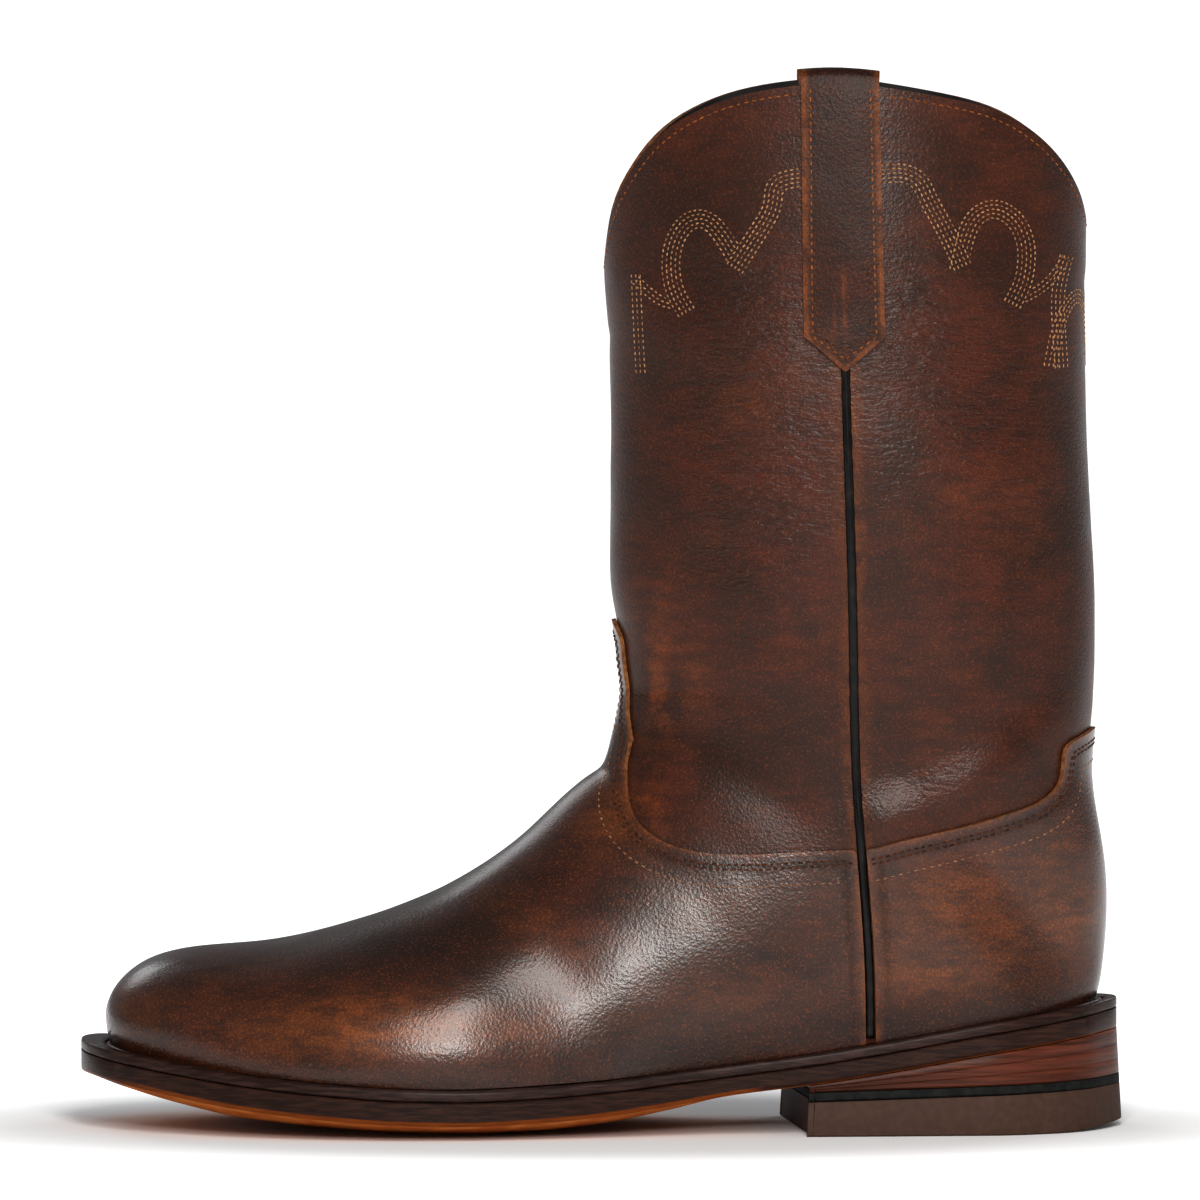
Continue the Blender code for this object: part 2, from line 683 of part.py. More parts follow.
def prism(name, outline, place, collection):
    """A cutter: a flat outline carried through the boot by place(point, side)."""
    item = empty_mesh_object(name, collection)
    shape = bmesh.new()
    ends = [[shape.verts.new(place(point, side)) for point in outline] for side in (-1, 1)]
    for index in range(len(outline)):
        after = (index + 1) % len(outline)
        shape.faces.new((ends[0][index], ends[0][after], ends[1][after], ends[1][index]))
    shape.faces.new(ends[0])
    shape.faces.new(ends[1])
    bmesh.ops.recalc_face_normals(shape, faces=shape.faces)
    shape.to_mesh(item.data)
    shape.free()
    item.hide_render = True
    item.display_type = "WIRE"
    return item


def seam_point(row):
    """A seam's row as a point of the side view."""
    return SHAFT_BACK_X - SHAFT_DEPTH * row.back, heel_seat() + INSTEP_HEIGHT * row.height


def slot_line(side, top):
    """Edge of the slot that an overlay leaves for the piping, from a height to the floor."""
    clear = side * (PIPING_WIDTH / 2 + FIT_GAP)
    heights = [top * (1 - step / 8) for step in range(9)]
    return [(seam_x(height) + clear, height) for height in heights]


def cut_to(item, cutter):
    cut = item.modifiers.new(cutter.name, "BOOLEAN")
    cut.operation = "INTERSECT"
    cut.object = cutter


def make_overlays(sheet, parts, cutters):
    """Vamp and counter, both cut from one skin over the upper."""
    reach = SHAFT_DEPTH
    below = -OUTSOLE_THICKNESS

    def from_side(point, side):
        return Vector((point[0], side * reach, point[1]))

    def from_front(point, side):
        return Vector((side * 2 * SOLE_LENGTH, point[0], point[1]))

    front = REAR_X - SOLE_LENGTH - OUTSOLE_THICKNESS
    over = heel_seat() + INSTEP_HEIGHT * (TONGUE[-1].height + 0.1)
    corner = seam_point(VAMP_SEAM[0])
    clear = corner[0] + 2 * WALL_THICKNESS
    vamp_side = [(front, below), (front, over), (clear, over), (clear, corner[1])]
    vamp_side += [seam_point(row) for row in VAMP_SEAM]
    vamp_side += slot_line(-1, heel_seat() + INSTEP_HEIGHT * VAMP_SEAM[-1].height)
    vamp_side.append((seam_x(0.0) - PIPING_WIDTH / 2 - FIT_GAP, below))
    half = [(SHAFT_WIDTH / 2 * row.half_width, heel_seat() + INSTEP_HEIGHT * row.height) for row in TONGUE]
    tongue = [(reach, below), (reach, corner[1])] + half
    tongue += [(-y, z) for y, z in reversed(tongue)]
    vamp = shell("vamp", sheet, FIT_GAP, OVERLAY_THICKNESS, 1, parts)
    cut_to(vamp, prism("vamp side", vamp_side, from_side, cutters))
    cut_to(vamp, prism("vamp tongue", tongue, from_front, cutters))
    paint(vamp, (0.070, 0.030, 0.020), 0.4)

    counter_side = slot_line(1, heel_seat() + INSTEP_HEIGHT * COUNTER_SEAM[0].height)
    counter_side = [(x, below if z == 0.0 else z) for x, z in reversed(counter_side)]
    counter_side += [seam_point(row) for row in COUNTER_SEAM]
    counter_side.append((counter_side[-1][0], below))
    counter = shell("counter", sheet, FIT_GAP, OVERLAY_THICKNESS, 1, parts)
    cut_to(counter, prism("counter side", counter_side, from_side, cutters))
    paint(counter, (0.090, 0.038, 0.022), 0.4)


for old in list(bpy.data.objects):
    bpy.data.objects.remove(old)
boot = bpy.data.collections.new("roper boot")
cutting = bpy.data.collections.new("cutters")
bpy.context.scene.collection.children.link(boot)
bpy.context.scene.collection.children.link(cutting)

make_outsole(boot)
make_welt(boot)
make_insole(boot)
make_heel_layer("heel_stack", stack_bottom, stack_top, (0.130, 0.045, 0.022), 0.5, boot)
make_heel_layer("heel_rubber_layer", rubber_bottom, rubber_top, (0.020, 0.020, 0.020), 0.7, boot)
make_heel_layer("top_lift", heel_tread, lift_top, (0.055, 0.036, 0.030), 0.7, boot)

outer_face = sheet_mesh()
outer_tree = BVHTree.FromPolygons(
    [vertex.co for vertex in outer_face.vertices],
    [tuple(face.vertices) for face in outer_face.polygons],
)
upper = shell("upper", outer_face, 0.0, WALL_THICKNESS, -1, boot)
paint(upper, (0.065, 0.028, 0.019), 0.4)
make_overlays(outer_face, boot, cutting)
for side_name, side_sign in (("lateral", -1), ("medial", 1)):
    make_piping("side_piping_" + side_name, side_sign, outer_tree, boot)
    make_strap("pull_strap_" + side_name, side_sign, outer_tree, boot)
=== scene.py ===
"""A left roper boot in burnished brown leather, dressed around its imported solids.

Lengths are in metres. The toe points to -X, the outer side of the foot lies at -Y, up is +Z, and
the origin is the middle of the heel's flat tread, on the floor.
"""

import math

import bmesh
import bpy
import numpy as np
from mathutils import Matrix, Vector, noise
from mathutils.bvhtree import BVHTree


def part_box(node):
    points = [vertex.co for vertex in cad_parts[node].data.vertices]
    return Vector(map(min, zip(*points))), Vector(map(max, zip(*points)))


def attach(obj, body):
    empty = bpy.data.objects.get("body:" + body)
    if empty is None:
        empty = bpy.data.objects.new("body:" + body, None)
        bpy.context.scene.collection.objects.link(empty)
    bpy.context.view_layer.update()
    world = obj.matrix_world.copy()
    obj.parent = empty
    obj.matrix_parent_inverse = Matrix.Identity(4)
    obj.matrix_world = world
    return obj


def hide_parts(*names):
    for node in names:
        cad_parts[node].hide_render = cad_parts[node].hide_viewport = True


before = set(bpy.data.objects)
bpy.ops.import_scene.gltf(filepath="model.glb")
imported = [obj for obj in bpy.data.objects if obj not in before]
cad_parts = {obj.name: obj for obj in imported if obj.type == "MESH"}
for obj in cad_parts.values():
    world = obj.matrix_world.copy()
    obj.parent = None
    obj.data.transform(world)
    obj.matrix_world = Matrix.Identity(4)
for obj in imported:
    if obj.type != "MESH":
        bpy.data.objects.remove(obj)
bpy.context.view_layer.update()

# Studio: a pale floor under soft lamps, seen from the boot's outer side through a long lens,
# a little above the ankle
VIEW_TARGET = Vector((-0.0941, 0.0, 0.1556))
VIEW_DISTANCE = 4.2
VIEW_PITCH = math.radians(3.15)
VIEW_LENS = 427.0
FLOOR_SIZE = 90.0
FLOOR_GLOW = 0.74
FLOOR_PALE = (0.30, 0.90)
# Far in front of the boot the floor lies unlit, so that it isn't mirrored in the leather
UNLIT_Y = -1.20
LIT_Y = -0.35
UNLIT_SHARE = 0.15
# Oval round the sole where the floor takes its light only from the lamps and the room, so that
# the boot's own shade shows: middle and reach along X and Y
SHADE_OVAL = ((-0.10, 0.30), (0.0, 0.17))
SHADE_CORE = 0.45
ROOM_LIGHT = 0.29
EVEN_SPECULAR = 0.10
LAMPS = (
    # place, width, height, power, colour
    ((-0.01, -1.02, 0.70), 0.28, 0.76, 9.2, (1.00, 0.97, 0.94)),
    ((0.06, -1.15, 0.37), 0.20, 0.13, 2.6, (1.00, 0.98, 0.96)),
    ((-0.90, 1.30, 0.90), 0.60, 0.50, 3.0, (0.97, 0.99, 1.00)),
    ((0.90, 1.30, 0.80), 0.60, 0.50, 2.5, (0.97, 0.99, 1.00)),
)


def linear(code):
    """A colour from its six-digit code, as the linear values that a shader takes."""
    values = [int(code[at:at + 2], 16) / 255 for at in (0, 2, 4)]
    values = [v / 12.92 if v <= 0.04045 else ((v + 0.055) / 1.055) ** 2.4 for v in values]
    return (*values, 1.0)


def add_node(tree, kind, values=None, **settings):
    """A shader node with its settings and with values or links on its sockets."""
    made = tree.nodes.new("ShaderNode" + kind)
    for key, value in settings.items():
        setattr(made, key, value)
    for socket, value in (values or {}).items():
        if isinstance(value, bpy.types.NodeSocket):
            tree.links.new(value, made.inputs[socket])
        else:
            made.inputs[socket].default_value = value
    return made


def arithmetic(tree, operation, first, second):
    return add_node(tree, "Math", {0: first, 1: second}, operation=operation).outputs[0]


def ranged(tree, value, bottom, top, low=0.0, high=1.0, **settings):
    """A number from bottom to top for a value that runs from low to high."""
    sockets = {0: value, 1: low, 2: high, 3: bottom, 4: top}
    return add_node(tree, "MapRange", sockets, **settings).outputs[0]


def new_material(name, roughness, **values):
    """A material, its node tree and its shader, with the even values set on the shader."""
    material = bpy.data.materials.new(name)
    material.use_nodes = True
    tree = material.node_tree
    shader = tree.nodes["Principled BSDF"]
    shader.inputs["Roughness"].default_value = roughness
    shader.inputs["Specular IOR Level"].default_value = EVEN_SPECULAR
    for socket, value in values.items():
        shader.inputs[socket.replace("_", " ")].default_value = value
    return material, tree, shader


def clamped(share):
    return min(max(share, 0.0), 1.0)


def look_at(item, place, target):
    item.location = place
    item.rotation_euler = (Vector(target) - Vector(place)).to_track_quat("-Z", "Y").to_euler()


camera_data = bpy.data.cameras.new("camera")
camera_data.lens = VIEW_LENS
camera_data.clip_end = FLOOR_SIZE
camera = bpy.data.objects.new("camera", camera_data)
bpy.context.scene.collection.objects.link(camera)
back_off = Vector((0.0, -math.cos(VIEW_PITCH), math.sin(VIEW_PITCH))) * VIEW_DISTANCE
look_at(camera, VIEW_TARGET + back_off, VIEW_TARGET)
bpy.context.scene.camera = camera
bpy.context.scene.view_settings.view_transform = "Standard"
bpy.context.scene.view_settings.look = "Medium High Contrast"

for number, (place, width, height, power, tint) in enumerate(LAMPS):
    lamp_data = bpy.data.lights.new(f"softbox {number}", "AREA")
    lamp_data.shape = "RECTANGLE"
    lamp_data.size = width
    lamp_data.size_y = height
    lamp_data.energy = power
    lamp_data.color = tint
    lamp = bpy.data.objects.new(f"softbox {number}", lamp_data)
    bpy.context.scene.collection.objects.link(lamp)
    look_at(lamp, place, VIEW_TARGET)

world = bpy.data.worlds.new("room")
world.use_nodes = True
world.node_tree.nodes["Background"].inputs["Color"].default_value = (0.95, 0.97, 1.0, 1.0)
world.node_tree.nodes["Background"].inputs["Strength"].default_value = ROOM_LIGHT
bpy.context.scene.world = world

bpy.ops.object.select_all(action="DESELECT")
bpy.ops.mesh.primitive_plane_add(size=FLOOR_SIZE, location=(0.0, 0.0, 0.0))
floor = bpy.context.object
floor.name = "floor"
floor_paint, floor_tree, floor_shader = new_material("floor white", 0.9)
floor_place = add_node(floor_tree, "SeparateXYZ", {0: add_node(floor_tree, "TexCoord").outputs["Object"]})
lit = ranged(
    floor_tree, floor_place.outputs[1], UNLIT_SHARE, 1.0, UNLIT_Y, LIT_Y, interpolation_type="SMOOTHSTEP",
)
aside = []
for axis, (middle, reach) in enumerate(SHADE_OVAL):
    offset = arithmetic(floor_tree, "SUBTRACT", floor_place.outputs[axis], middle)
    aside.append(arithmetic(floor_tree, "DIVIDE", offset, reach))
away = add_node(floor_tree, "CombineXYZ", {0: aside[0], 1: aside[1]}).outputs[0]
far = add_node(floor_tree, "VectorMath", {0: away}, operation="LENGTH").outputs["Value"]
open_floor = ranged(floor_tree, far, 0.0, FLOOR_GLOW, SHADE_CORE, 1.0, interpolation_type="SMOOTHSTEP")
glow = arithmetic(floor_tree, "MULTIPLY", lit, open_floor)
pale = ranged(floor_tree, lit, *FLOOR_PALE)
floor_tree.links.new(glow, floor_shader.inputs["Emission Strength"])
floor_tree.links.new(
    add_node(floor_tree, "CombineColor", {0: pale, 1: pale, 2: pale}).outputs[0],
    floor_shader.inputs["Base Color"],
)
floor_shader.inputs["Emission Color"].default_value = (1.0, 1.0, 1.0, 1.0)
floor_shader.inputs["Specular IOR Level"].default_value = 0.0
floor.data.materials.append(floor_paint)

# The upper's skin: the outer face of the leather. Shaft, vamp and counter are all cut from it,
# so that they lie on each other as the sewn leathers do. Its few broad folds and swells are
# pushed in one by one, in the side view.
OUTER_ANGLE = math.radians(50)
SKIN_LEVELS = 2
SKIN_LIFT = 0.0004
SWAY = 0.00028
MM = 0.001
Y_REACH = 0.2
# Each fold: points along it (x, z in mm), height out of the skin and half breadth in mm
FOLDS = (
    (((-10, 92), (14, 101), (40, 118)), 1.7, 8.5),
    (((-4, 109), (20, 122), (44, 138)), -0.8, 8.0),
    (((-88, 262), (-70, 254), (-52, 252)), -0.5, 8.0),
    (((-88, 240), (-66, 232), (-40, 228)), 0.5, 8.0),
    (((-90, 176), (-72, 170), (-48, 174)), -0.5, 9.0),
    (((-90, 152), (-68, 146), (-44, 150)), 0.6, 9.0),
    (((-78, 128), (-62, 112), (-40, 98)), -0.6, 8.0),
    (((20, 232), (36, 220), (48, 214)), -0.5, 9.0),
    (((-16, 206), (6, 196), (30, 196)), 0.5, 10.0),
    (((-120, 74), (-104, 64), (-92, 50)), 0.15, 6.0),
    (((-168, 52), (-150, 46), (-138, 36)), -0.35, 8.0),
)


def deselect():
    bpy.ops.object.select_all(action="DESELECT")


def take_up(piece):
    """Makes a piece the only selected and active one."""
    deselect()
    piece.select_set(True)
    bpy.context.view_layer.objects.active = piece


def new_piece(name, mesh):
    piece = bpy.data.objects.new(name, mesh)
    bpy.context.scene.collection.objects.link(piece)
    return piece


def finish_modifiers(piece):
    take_up(piece)
    for modifier in list(piece.modifiers):
        bpy.ops.object.modifier_apply(modifier=modifier.name)


def points_of(mesh, count_of="vertices", attribute="co"):
    items = getattr(mesh, count_of)
    values = np.empty(len(items) * 3)
    items.foreach_get(attribute, values)
    return values.reshape(-1, 3)


def line_distance(places, line):
    """Distance of each flat place to a line through points."""
    line = np.asarray(line, float)
    nearest = np.full(len(places), np.inf)
    for start, end in zip(line, line[1:]):
        along = end - start
        share = np.clip((places - start) @ along / max(along @ along, 1e-12), 0.0, 1.0)
        gap = np.linalg.norm(places - start - share[:, None] * along, axis=1)
        nearest = np.minimum(nearest, gap)
    return nearest


def tree_of(piece):
    return BVHTree.FromObject(piece, bpy.context.evaluated_depsgraph_get())


def store(piece, name, values):
    """Keeps one number a vertex under a name that a material reads."""
    layer = piece.data.attributes.new(name, "FLOAT", "POINT")
    layer.data.foreach_set("value", np.asarray(values, dtype=np.float32))


skin = new_piece("skin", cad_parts["upper"].data.copy())
skin.data.materials.clear()
take_up(skin)
bpy.ops.object.mode_set(mode="EDIT")
bpy.ops.mesh.select_mode(type="FACE")
bpy.ops.mesh.select_all(action="SELECT")
bpy.ops.mesh.remove_doubles(threshold=0.00001)
bpy.ops.mesh.select_all(action="DESELECT")
bpy.ops.object.mode_set(mode="OBJECT")
outermost = min(skin.data.polygons, key=lambda face: face.center.y)
outermost.select = True
skin.data.polygons.active = outermost.index
bpy.ops.object.mode_set(mode="EDIT")
bpy.ops.mesh.faces_select_linked_flat(sharpness=OUTER_ANGLE)
bpy.ops.mesh.select_all(action="INVERT")
bpy.ops.mesh.delete(type="FACE")
bpy.ops.mesh.select_all(action="SELECT")
bpy.ops.mesh.tris_convert_to_quads(face_threshold=math.pi, shape_threshold=math.pi)
bpy.ops.object.mode_set(mode="OBJECT")
smooth = skin.modifiers.new("Smooth", "SUBSURF")
smooth.levels = smooth.render_levels = SKIN_LEVELS
smooth.boundary_smooth = "PRESERVE_CORNERS"
finish_modifiers(skin)

places = points_of(skin.data)
outward = points_of(skin.data, "vertices", "normal")
HEEL_SEAT = 0.0386
push = np.full(len(places), SKIN_LIFT)
for line, height, breadth in FOLDS:
    gap = line_distance(places[:, (0, 2)], np.array(line) * MM)
    push += height * MM * np.exp(-(gap / (breadth * MM)) ** 2) * outward[:, 1] ** 2
sway = [noise.noise(Vector(place) * 32.0) + 0.4 * noise.noise(Vector(place) * 85.0) for place in places]
push += SWAY * np.array(sway)
above_welt = np.clip((places[:, 2] - HEEL_SEAT) / 0.02 + (places[:, 0] < -0.04), 0.0, 1.0)
places += outward * (push * above_welt)[:, None]
skin.data.vertices.foreach_set("co", places.ravel())
skin.data.update()

# Colour of the leather, laid on in dabs as a finisher brushes it: amber where it is rubbed, a dark
# tone where the leather runs darker and also as painted shade, such as along the shaft's front and
# back edges and at the toe tip, red where the brown runs warm. Each dab: x, z, half length along x
# and z in mm, lean in degrees, strength
DABS = {
    "amber": (
        (-77, 128, 3.2, 30, 0, 0.75), (-67, 134, 6, 9, 10, 0.45), (-78, 150, 9, 12, 0, 0.25),
        (-30, 148, 16, 12, 0, 0.22), (-34, 220, 10, 4, -20, 0.22), (-52, 216, 10, 8, 10, 0.25),
        (6, 128, 12, 20, 10, 0.18), (34, 176, 10, 18, 0, 0.18), (14, 190, 16, 8, 5, 0.22),
        (-150, 32, 40, 8, 3, 0.65), (-178, 34, 24, 8, 10, 0.24), (-206, 42, 20, 6, 14, 0.14),
        (-232, 34, 9, 12, 0, 0.22), (-110, 58, 20, 8, -35, 0.22), (-60, 66, 20, 8, -4, 0.18),
        (10, 66, 26, 13, 4, 0.45), (44, 62, 12, 14, 0, 0.40), (6, 46, 26, 7, 2, 0.35),
        (40, 84, 10, 8, 30, 0.25), (-60, 42, 24, 8, 0, 0.20), (-88, 92, 9, 12, -40, 0.50),
    ),
    # Dark tone: partly the leather's own, partly painted shade, such as the dabs along the shaft's front
    # and back edges and at the toe tip
    "dark_tone_and_shade": (
        (-82, 262, 9, 22, 10, 0.70), (-66, 268, 10, 10, 0, 0.35), (-62, 246, 14, 10, -10, 0.45),
        (-84, 200, 8, 26, 0, 0.55), (-74, 184, 10, 14, 0, 0.30), (-58, 152, 14, 12, 0, 0.30),
        (38, 262, 12, 20, 0, 0.45), (44, 168, 9, 44, 0, 0.60), (24, 134, 24, 8, 24, 0.60),
        (30, 246, 12, 12, 0, 0.30), (-56, 110, 16, 12, 0, 0.35), (-22, 262, 24, 16, 0, 0.20),
        (-112, 72, 26, 6, 34, 0.70), (-150, 52, 30, 7, 20, 0.40), (-190, 50, 26, 6, 10, 0.35),
        (-238, 38, 12, 14, 0, 0.70), (-222, 22, 30, 4, -4, 0.30), (-96, 32, 30, 5, -8, 0.20),
        (52, 96, 6, 16, 0, 0.45), (-8, 34, 34, 9, 0, 0.65), (34, 44, 30, 10, 4, 0.60),
        (-40, 52, 24, 14, 0, 0.45),
    ),
    "red": (
        (-44, 190, 22, 26, 0, 0.45), (-40, 152, 14, 14, 0, 0.40), (16, 206, 22, 16, 0, 0.45),
        (20, 150, 20, 18, 0, 0.40), (-20, 250, 20, 12, 0, 0.30), (6, 236, 14, 14, 0, 0.30),
        (-200, 40, 30, 10, 12, 0.10), (-90, 60, 26, 14, -30, 0.25), (20, 70, 26, 18, 0, 0.30),
    ),
    "shine": (
        (-2, 101, 14, 8, 16, 0.7), (16, 108, 18, 7, 26, 0.6), (38, 122, 12, 7, 40, 0.4),
        (-36, 206, 6, 40, 0, 0.4), (-44, 238, 12, 8, -10, 0.5), (-40, 152, 10, 5, 0, 0.4),
    ),
    "crinkle": (
        (-46, 200, 17, 48, 0, 0.95), (-2, 236, 20, 20, 0, 0.85), (10, 210, 22, 30, 0, 0.70),
        (-50, 250, 14, 10, -8, 0.60), (-52, 236, 20, 7, -10, 0.60), (-106, 66, 16, 9, -40, 0.12),
        (8, 100, 14, 10, 20, 0.40), (-96, 76, 10, 14, -60, 0.15),
    ),
}
# In front of this the foot's upward-facing side is darkened as well: painted shade on its top
INSTEP_X = -0.085


def dab_values(places, dabs):
    """How strongly dabs of colour cover each place, from 0 to 1."""
    bare = np.ones(len(places))
    for x, z, half_x, half_z, lean, strength in dabs:
        turn = math.radians(lean)
        offset = places[:, (0, 2)] / MM - (x, z)
        along = offset @ (math.cos(turn), math.sin(turn)) / half_x
        across = offset @ (-math.sin(turn), math.cos(turn)) / half_z
        bare *= 1 - strength * np.exp(-along ** 2 - across ** 2)
    return 1 - bare


for tone, dabs in DABS.items():
    values = dab_values(places, dabs)
    if tone == "dark_tone_and_shade":
        # Painted shade on the foot's top: skin in front of the instep is darkened by how much it faces up
        painted_top_shade = np.clip((outward[:, 2] - 0.35) / 0.45, 0.0, 1.0) * (places[:, 0] < INSTEP_X)
        values = np.maximum(values, 0.85 * painted_top_shade)
    store(skin, tone, values)
skin_tree = tree_of(skin)

fine_skin = new_piece("fine skin", skin.data.copy())
finer = fine_skin.modifiers.new("Finer", "SUBSURF")
finer.levels = finer.render_levels = 1
finer.boundary_smooth = "PRESERVE_CORNERS"
finish_modifiers(fine_skin)

# Side seam, vamp seam, counter seam and the vamp's tongue, as heights above the heel seat in
# shares of the instep, against shares of the shaft's depth or of half its width
SHAFT_BACK_X = 0.0489
SHAFT_DEPTH = 0.1420
SHAFT_WIDTH = 0.0880
INSTEP_HEIGHT = 0.0897
BOOT_HEIGHT = 0.3095
SIDE_SEAM = (
    (0.000, 0.447), (0.100, 0.448), (0.168, 0.451), (0.239, 0.462), (0.349, 0.481),
    (0.523, 0.487), (0.727, 0.504), (1.000, 0.514),
)
VAMP_SEAM = (
    (0.849, 0.938), (0.807, 0.944), (0.786, 0.948), (0.716, 0.950), (0.657, 0.946),
    (0.604, 0.934), (0.564, 0.913), (0.524, 0.875), (0.498, 0.818), (0.489, 0.761),
    (0.489, 0.685), (0.498, 0.610), (0.506, 0.500),
)
COUNTER_SEAM = (
    (0.512, 0.440), (0.537, 0.387), (0.561, 0.314), (0.588, 0.239), (0.621, 0.166),
    (0.648, 0.111), (0.676, 0.082), (0.705, 0.063), (0.748, 0.054), (0.831, 0.052),
    (0.857, 0.030), (0.872, 0.004), (0.894, -0.017), (0.900, -0.120),
)
TONGUE = (
    (0.849, 0.300), (0.889, 0.262), (0.933, 0.225), (0.989, 0.190), (1.045, 0.175),
    (1.111, 0.190), (1.167, 0.205), (1.200, 0.180), (1.229, 0.100), (1.245, 0.010),
)


def rounded(points, rounds=3):
    """A line through points with its corners cut round and its ends kept."""
    line = np.asarray(points, float)
    for _ in range(rounds):
        first, second = line[:-1], line[1:]
        cut = np.empty((2 * len(first), line.shape[1]))
        cut[0::2] = 0.75 * first + 0.25 * second
        cut[1::2] = 0.25 * first + 0.75 * second
        line = np.vstack([line[:1], cut, line[-1:]])
    return line


def side_points(rows):
    """Rows of a seam as points of the side view."""
    return [(SHAFT_BACK_X - SHAFT_DEPTH * back, HEEL_SEAT + INSTEP_HEIGHT * up) for up, back in rows]


side_seam_line = rounded([(BOOT_HEIGHT * up, SHAFT_BACK_X - SHAFT_DEPTH * back) for up, back in SIDE_SEAM])


def seam_x(height):
    return np.interp(height, side_seam_line[:, 0], side_seam_line[:, 1])


def outline_field(places, outline):
    """Distance of each flat place to a closed outline, above zero inside it."""
    closed = np.vstack([outline, outline[:1]])
    inside = np.zeros(len(places), bool)
    for (x1, z1), (x2, z2) in zip(closed, closed[1:]):
        if z1 != z2:
            crosses = (places[:, 1] > z1) != (places[:, 1] > z2)
            reach = x1 + (places[:, 1] - z1) * (x2 - x1) / (z2 - z1)
            inside ^= crosses & (places[:, 0] < reach)
    return np.where(inside, 1.0, -1.0) * line_distance(places, closed)


SLOT_HALF = 0.0015


def slot_line(side, top):
    heights = np.linspace(top, -0.01, 40)
    return np.column_stack([seam_x(heights) + side * SLOT_HALF, heights])


BELOW = -0.02
vamp_top = HEEL_SEAT + INSTEP_HEIGHT * 1.35
vamp_corner = side_points(VAMP_SEAM)[0]
vamp_side = np.vstack([
    [(-0.30, BELOW), (-0.30, vamp_top), (vamp_corner[0] + 0.0044, vamp_top)],
    [(vamp_corner[0] + 0.0044, vamp_corner[1])],
    rounded(side_points(VAMP_SEAM)),
    slot_line(-1, side_points(VAMP_SEAM)[-1][1]),
    [(seam_x(0.0) - SLOT_HALF, BELOW)],
])
tongue_half = rounded([(SHAFT_WIDTH / 2 * half, HEEL_SEAT + INSTEP_HEIGHT * up) for up, half in TONGUE])
tongue_half = np.vstack([[(Y_REACH, BELOW), (Y_REACH, vamp_corner[1])], tongue_half])
vamp_front = np.vstack([tongue_half, tongue_half[::-1] * (-1, 1)])
counter_side = np.vstack([
    slot_line(1, side_points(COUNTER_SEAM)[0][1])[::-1],
    rounded(side_points(COUNTER_SEAM)),
    [(side_points(COUNTER_SEAM)[-1][0], BELOW), (seam_x(0.0) + SLOT_HALF, BELOW)],
])


def vamp_field(places):
    side = outline_field(places[:, (0, 2)], vamp_side)
    return np.minimum(side, outline_field(places[:, (1, 2)], vamp_front))


def counter_field(places):
    return outline_field(places[:, (0, 2)], counter_side)


def cut_by(piece, field):
    """Keeps the part of an open sheet on which the field is above zero."""
    values = field(points_of(piece.data))
    shape = bmesh.new()
    shape.from_mesh(piece.data)
    kept = shape.verts.layers.float_vector.new("kept")
    for vertex, value in zip(shape.verts, values):
        vertex[kept] = vertex.co
        vertex.co.x = value
    everything = list(shape.verts) + list(shape.edges) + list(shape.faces)
    bmesh.ops.bisect_plane(
        shape, geom=everything, dist=0.00002, plane_co=(0.0, 0.0, 0.0), plane_no=(1.0, 0.0, 0.0),
        clear_inner=True,
    )
    for vertex in shape.verts:
        vertex.co = vertex[kept]
    shape.verts.layers.float_vector.remove(kept)
    shape.to_mesh(piece.data)
    shape.free()


def border(piece, chosen):
    """Points along the one open border of a sheet that passes the choice, in order."""
    shape = bmesh.new()
    shape.from_mesh(piece.data)
    links = {}
    for edge in shape.edges:
        if edge.is_boundary and all(chosen(vertex.co) for vertex in edge.verts):
            first, second = edge.verts
            links.setdefault(first.index, []).append(second.index)
            links.setdefault(second.index, []).append(first.index)
    ends = [index for index, near in links.items() if len(near) == 1]
    shape.verts.ensure_lookup_table()
    chains = []
    left = set(links)
    for start in ends + sorted(links):
        if start not in left:
            continue
        chain = [start]
        left.discard(start)
        step = start
        while True:
            step = next((near for near in links[step] if near in left), None)
            if step is None:
                break
            left.discard(step)
            chain.append(step)
        chains.append([tuple(shape.verts[index].co) for index in chain])
    shape.free()
    return np.array(max(chains, key=len))


def resampled(path, step):
    """Points an even step apart along a path."""
    lengths = np.concatenate([[0.0], np.cumsum(np.linalg.norm(np.diff(path, axis=0), axis=1))])
    count = max(2, round(lengths[-1] / step))
    marks = np.linspace(0.0, lengths[-1], count)
    return np.column_stack([np.interp(marks, lengths, path[:, axis]) for axis in range(path.shape[1])])


def eased(path, rounds=4):
    """A path with its small jogs averaged out, its ends kept."""
    for _ in range(rounds):
        path = path.copy()
        path[1:-1] = (path[:-2] + 2 * path[1:-1] + path[2:]) / 4
    return path


def inset_path(path, distance, tree, inward):
    """A path moved sideways over a surface by a distance, to the side that inward names higher."""
    path = eased(resampled(path, 0.0012))
    along = np.gradient(path, axis=0)
    normals = np.array([tree.find_nearest(point)[1] for point in path])
    sideways = np.cross(normals, along)
    sideways /= np.linalg.norm(sideways, axis=1)[:, None] + 1e-12
    options = [path + sideways * distance * sign for sign in (-1, 1)]
    moved = max(options, key=lambda points: inward(points).mean())
    clear = [np.linalg.norm(path - point, axis=1).min() > distance * 0.93 for point in moved]
    moved = moved[np.array(clear)]
    moved = np.array([tree.find_nearest(point)[0] for point in moved])
    return eased(moved)


# Leather: cowhide with a fine grain, cloudy in colour, darker in places, partly as painted shade,
# and rubbed to amber where it is handled. One recipe with each piece's own tones.
def tone_mix(tree, share, first, second):
    """A colour between two, by a share that a node gives."""
    made = add_node(tree, "Mix", {0: share, 6: first, 7: second}, data_type="RGBA")
    return made.outputs[2]


def product(tree, first, second):
    return arithmetic(tree, "MULTIPLY", first, second)


def clouds(tree, where, scale, detail, low, high, distortion=0.0):
    """Soft noise, from 0 below its low value to 1 above its high one."""
    made = add_node(
        tree, "TexNoise", {"Vector": where, "Scale": scale, "Detail": detail, "Distortion": distortion},
    )
    return ranged(tree, made.outputs[0], 0.0, 1.0, low, high, interpolation_type="SMOOTHSTEP")


